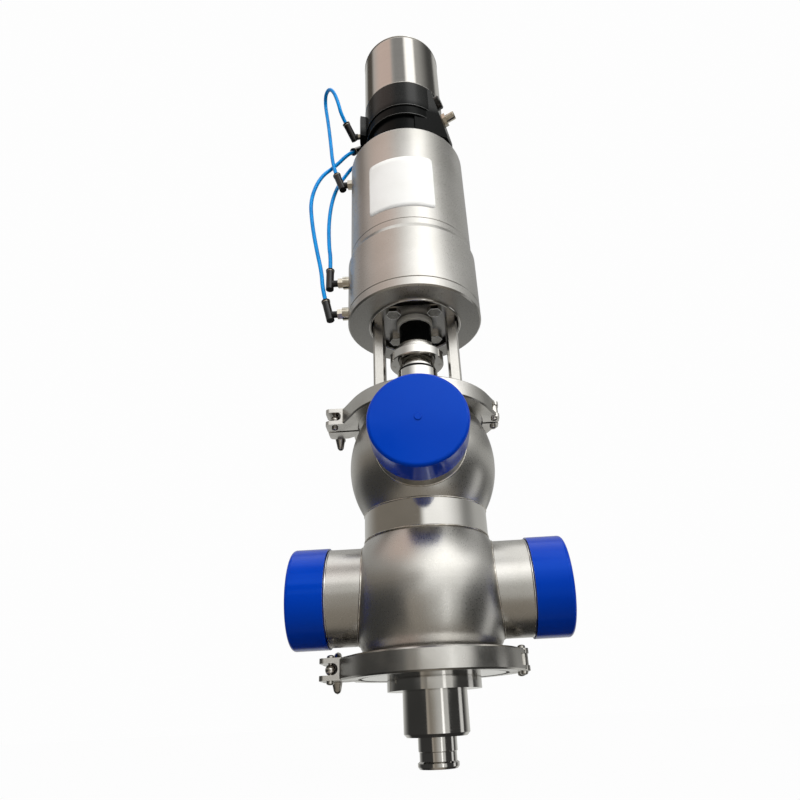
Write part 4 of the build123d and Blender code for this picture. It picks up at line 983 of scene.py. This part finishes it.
class VALVE_OT_rolled_edges(bpy.types.Operator):
    """Rolls the edges of the control cap, the actuator's recess, the bolt heads and the head's lips; the bolt
    heads' edges carry a painted highlight
    """
    bl_idname = "valve.rolled_edges"
    bl_label = "Rolled edges"

    def execute(self, context):
        low, high = (np.array(corner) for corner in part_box("control_cap"))
        radius = (high[0] - low[0]) / 2
        edge = bead(hoop(radius - 0.0004, low[2] + 0.0008), 0.0008, 12)
        crown = bead(hoop(radius - 0.0011, high[2] - 0.0019), 0.0015, 12)
        add_piece("rolled_edge", joined("rolled_edge", [edge, crown]), "control_cap",
                  finish_of("polished_steel"))
        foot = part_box("actuator_bottom")[0][2]
        rim = bead(hoop(0.0608, foot + 0.0006), 0.0018, 12)
        add_piece("recess_rim", joined("recess_rim", [rim]), "valve_body",
                  finish_of("polished_steel"))
        # Painted highlight: near-white beads round the bolt heads' edges.
        edges = []
        turn = np.radians(np.arange(0, 360, 60))
        half_head = 0.0096
        corners = half_head * np.stack([np.cos(turn), np.sin(turn), 0 * turn], 1)
        share = np.linspace(0, 1, 9)[:-1, None]
        for x, y in BOLTS:
            sides = [a + (b - a) * share for a, b in zip(corners, np.roll(corners, -1, 0))]
            edges.append(bead(np.vstack(sides) + (x, y, foot - 0.0008), 0.0005, 8))
        add_piece("bright_edges", joined("bright_edges", edges), "valve_body", chamfer_steel())
        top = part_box("actuator_cover")[1][2]
        lips = [bead(hoop(r - 0.0005, top + z), 0.0007, 10) for r, z in HEAD_LIPS]
        add_piece("head_lips", joined("head_lips", lips), "valve_body", edge_plastic())
        return {"FINISHED"}


class VALVE_OT_tube_bands(bpy.types.Operator):
    """Polishes a narrow band on each tube at the mouth of its cap"""
    bl_idname = "valve.tube_bands"
    bl_label = "Polished tube bands"

    def execute(self, context):
        inner, edge, crown, width = TUBE_R - 0.0004, TUBE_R + 0.00018, TUBE_R + 0.0002, 0.0024
        profile = [(inner, 0.0), (edge, 0.0), (crown, width / 2), (edge, width), (inner, width)]
        bands = []
        for name, way, z in (("cap_left", (-1, 0, 0), LOWER_PORT_Z), ("cap_right", (1, 0, 0), LOWER_PORT_Z),
                             ("cap_front", (0, -1, 0), UPPER_PORT_Z), ("cap_rear", (0, 1, 0), UPPER_PORT_Z)):
            low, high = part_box(name)
            along = 0 if way[0] else 1
            mouth = min(abs(low[along]), abs(high[along])) - width - 0.0002
            centre = np.array(way) * mouth + np.array((0, 0, z))
            bands.append(round_band(centre, way, profile, 96))
        add_piece("tube_bands", joined("tube_bands", bands), "valve_body",
                  finish_of("polished_steel"))
        return {"FINISHED"}


OPERATORS = (VALVE_OT_stage, VALVE_OT_air_hoses, VALVE_OT_finishes, VALVE_OT_weld_beads, VALVE_OT_label,
             VALVE_OT_neck_ring, VALVE_OT_release_rings, VALVE_OT_wing_nuts, VALVE_OT_eyebolts,
             VALVE_OT_slot_roots, VALVE_OT_pin_domes, VALVE_OT_connector_thread, VALVE_OT_rolled_edges,
             VALVE_OT_tube_bands)
SETTINGS = {"valve_stage": ValveStageSettings, "valve_hoses": ValveHoseSettings,
            "valve_seams": ValveSeamSettings, "valve_label": ValveLabelSettings}


class VALVE_PT_panel(bpy.types.Panel):
    """Lists the steps that dress the valve"""
    bl_label = "Valve"
    bl_idname = "VALVE_PT_panel"
    bl_space_type = "VIEW_3D"
    bl_region_type = "UI"
    bl_category = "Valve"

    def draw(self, context):
        for operator in OPERATORS:
            self.layout.operator(operator.bl_idname)


CLASSES = (*SETTINGS.values(), *OPERATORS, VALVE_PT_panel)


def register():
    for cls in CLASSES:
        bpy.utils.register_class(cls)
    for name, group in SETTINGS.items():
        setattr(bpy.types.Scene, name, bpy.props.PointerProperty(type=group))


def unregister():
    for name in SETTINGS:
        delattr(bpy.types.Scene, name)
    for cls in reversed(CLASSES):
        bpy.utils.unregister_class(cls)


def main():
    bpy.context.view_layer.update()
    register()
    bpy.ops.valve.stage()
    bpy.ops.valve.air_hoses()
    bpy.ops.valve.finishes()
    bpy.ops.valve.weld_beads()
    bpy.ops.valve.label()
    bpy.ops.valve.neck_ring()
    bpy.ops.valve.release_rings()
    bpy.ops.valve.wing_nuts()
    bpy.ops.valve.eyebolts()
    bpy.ops.valve.slot_roots()
    bpy.ops.valve.pin_domes()
    bpy.ops.valve.connector_thread()
    bpy.ops.valve.rolled_edges()
    bpy.ops.valve.tube_bands()


if __name__ == "__main__":
    main()
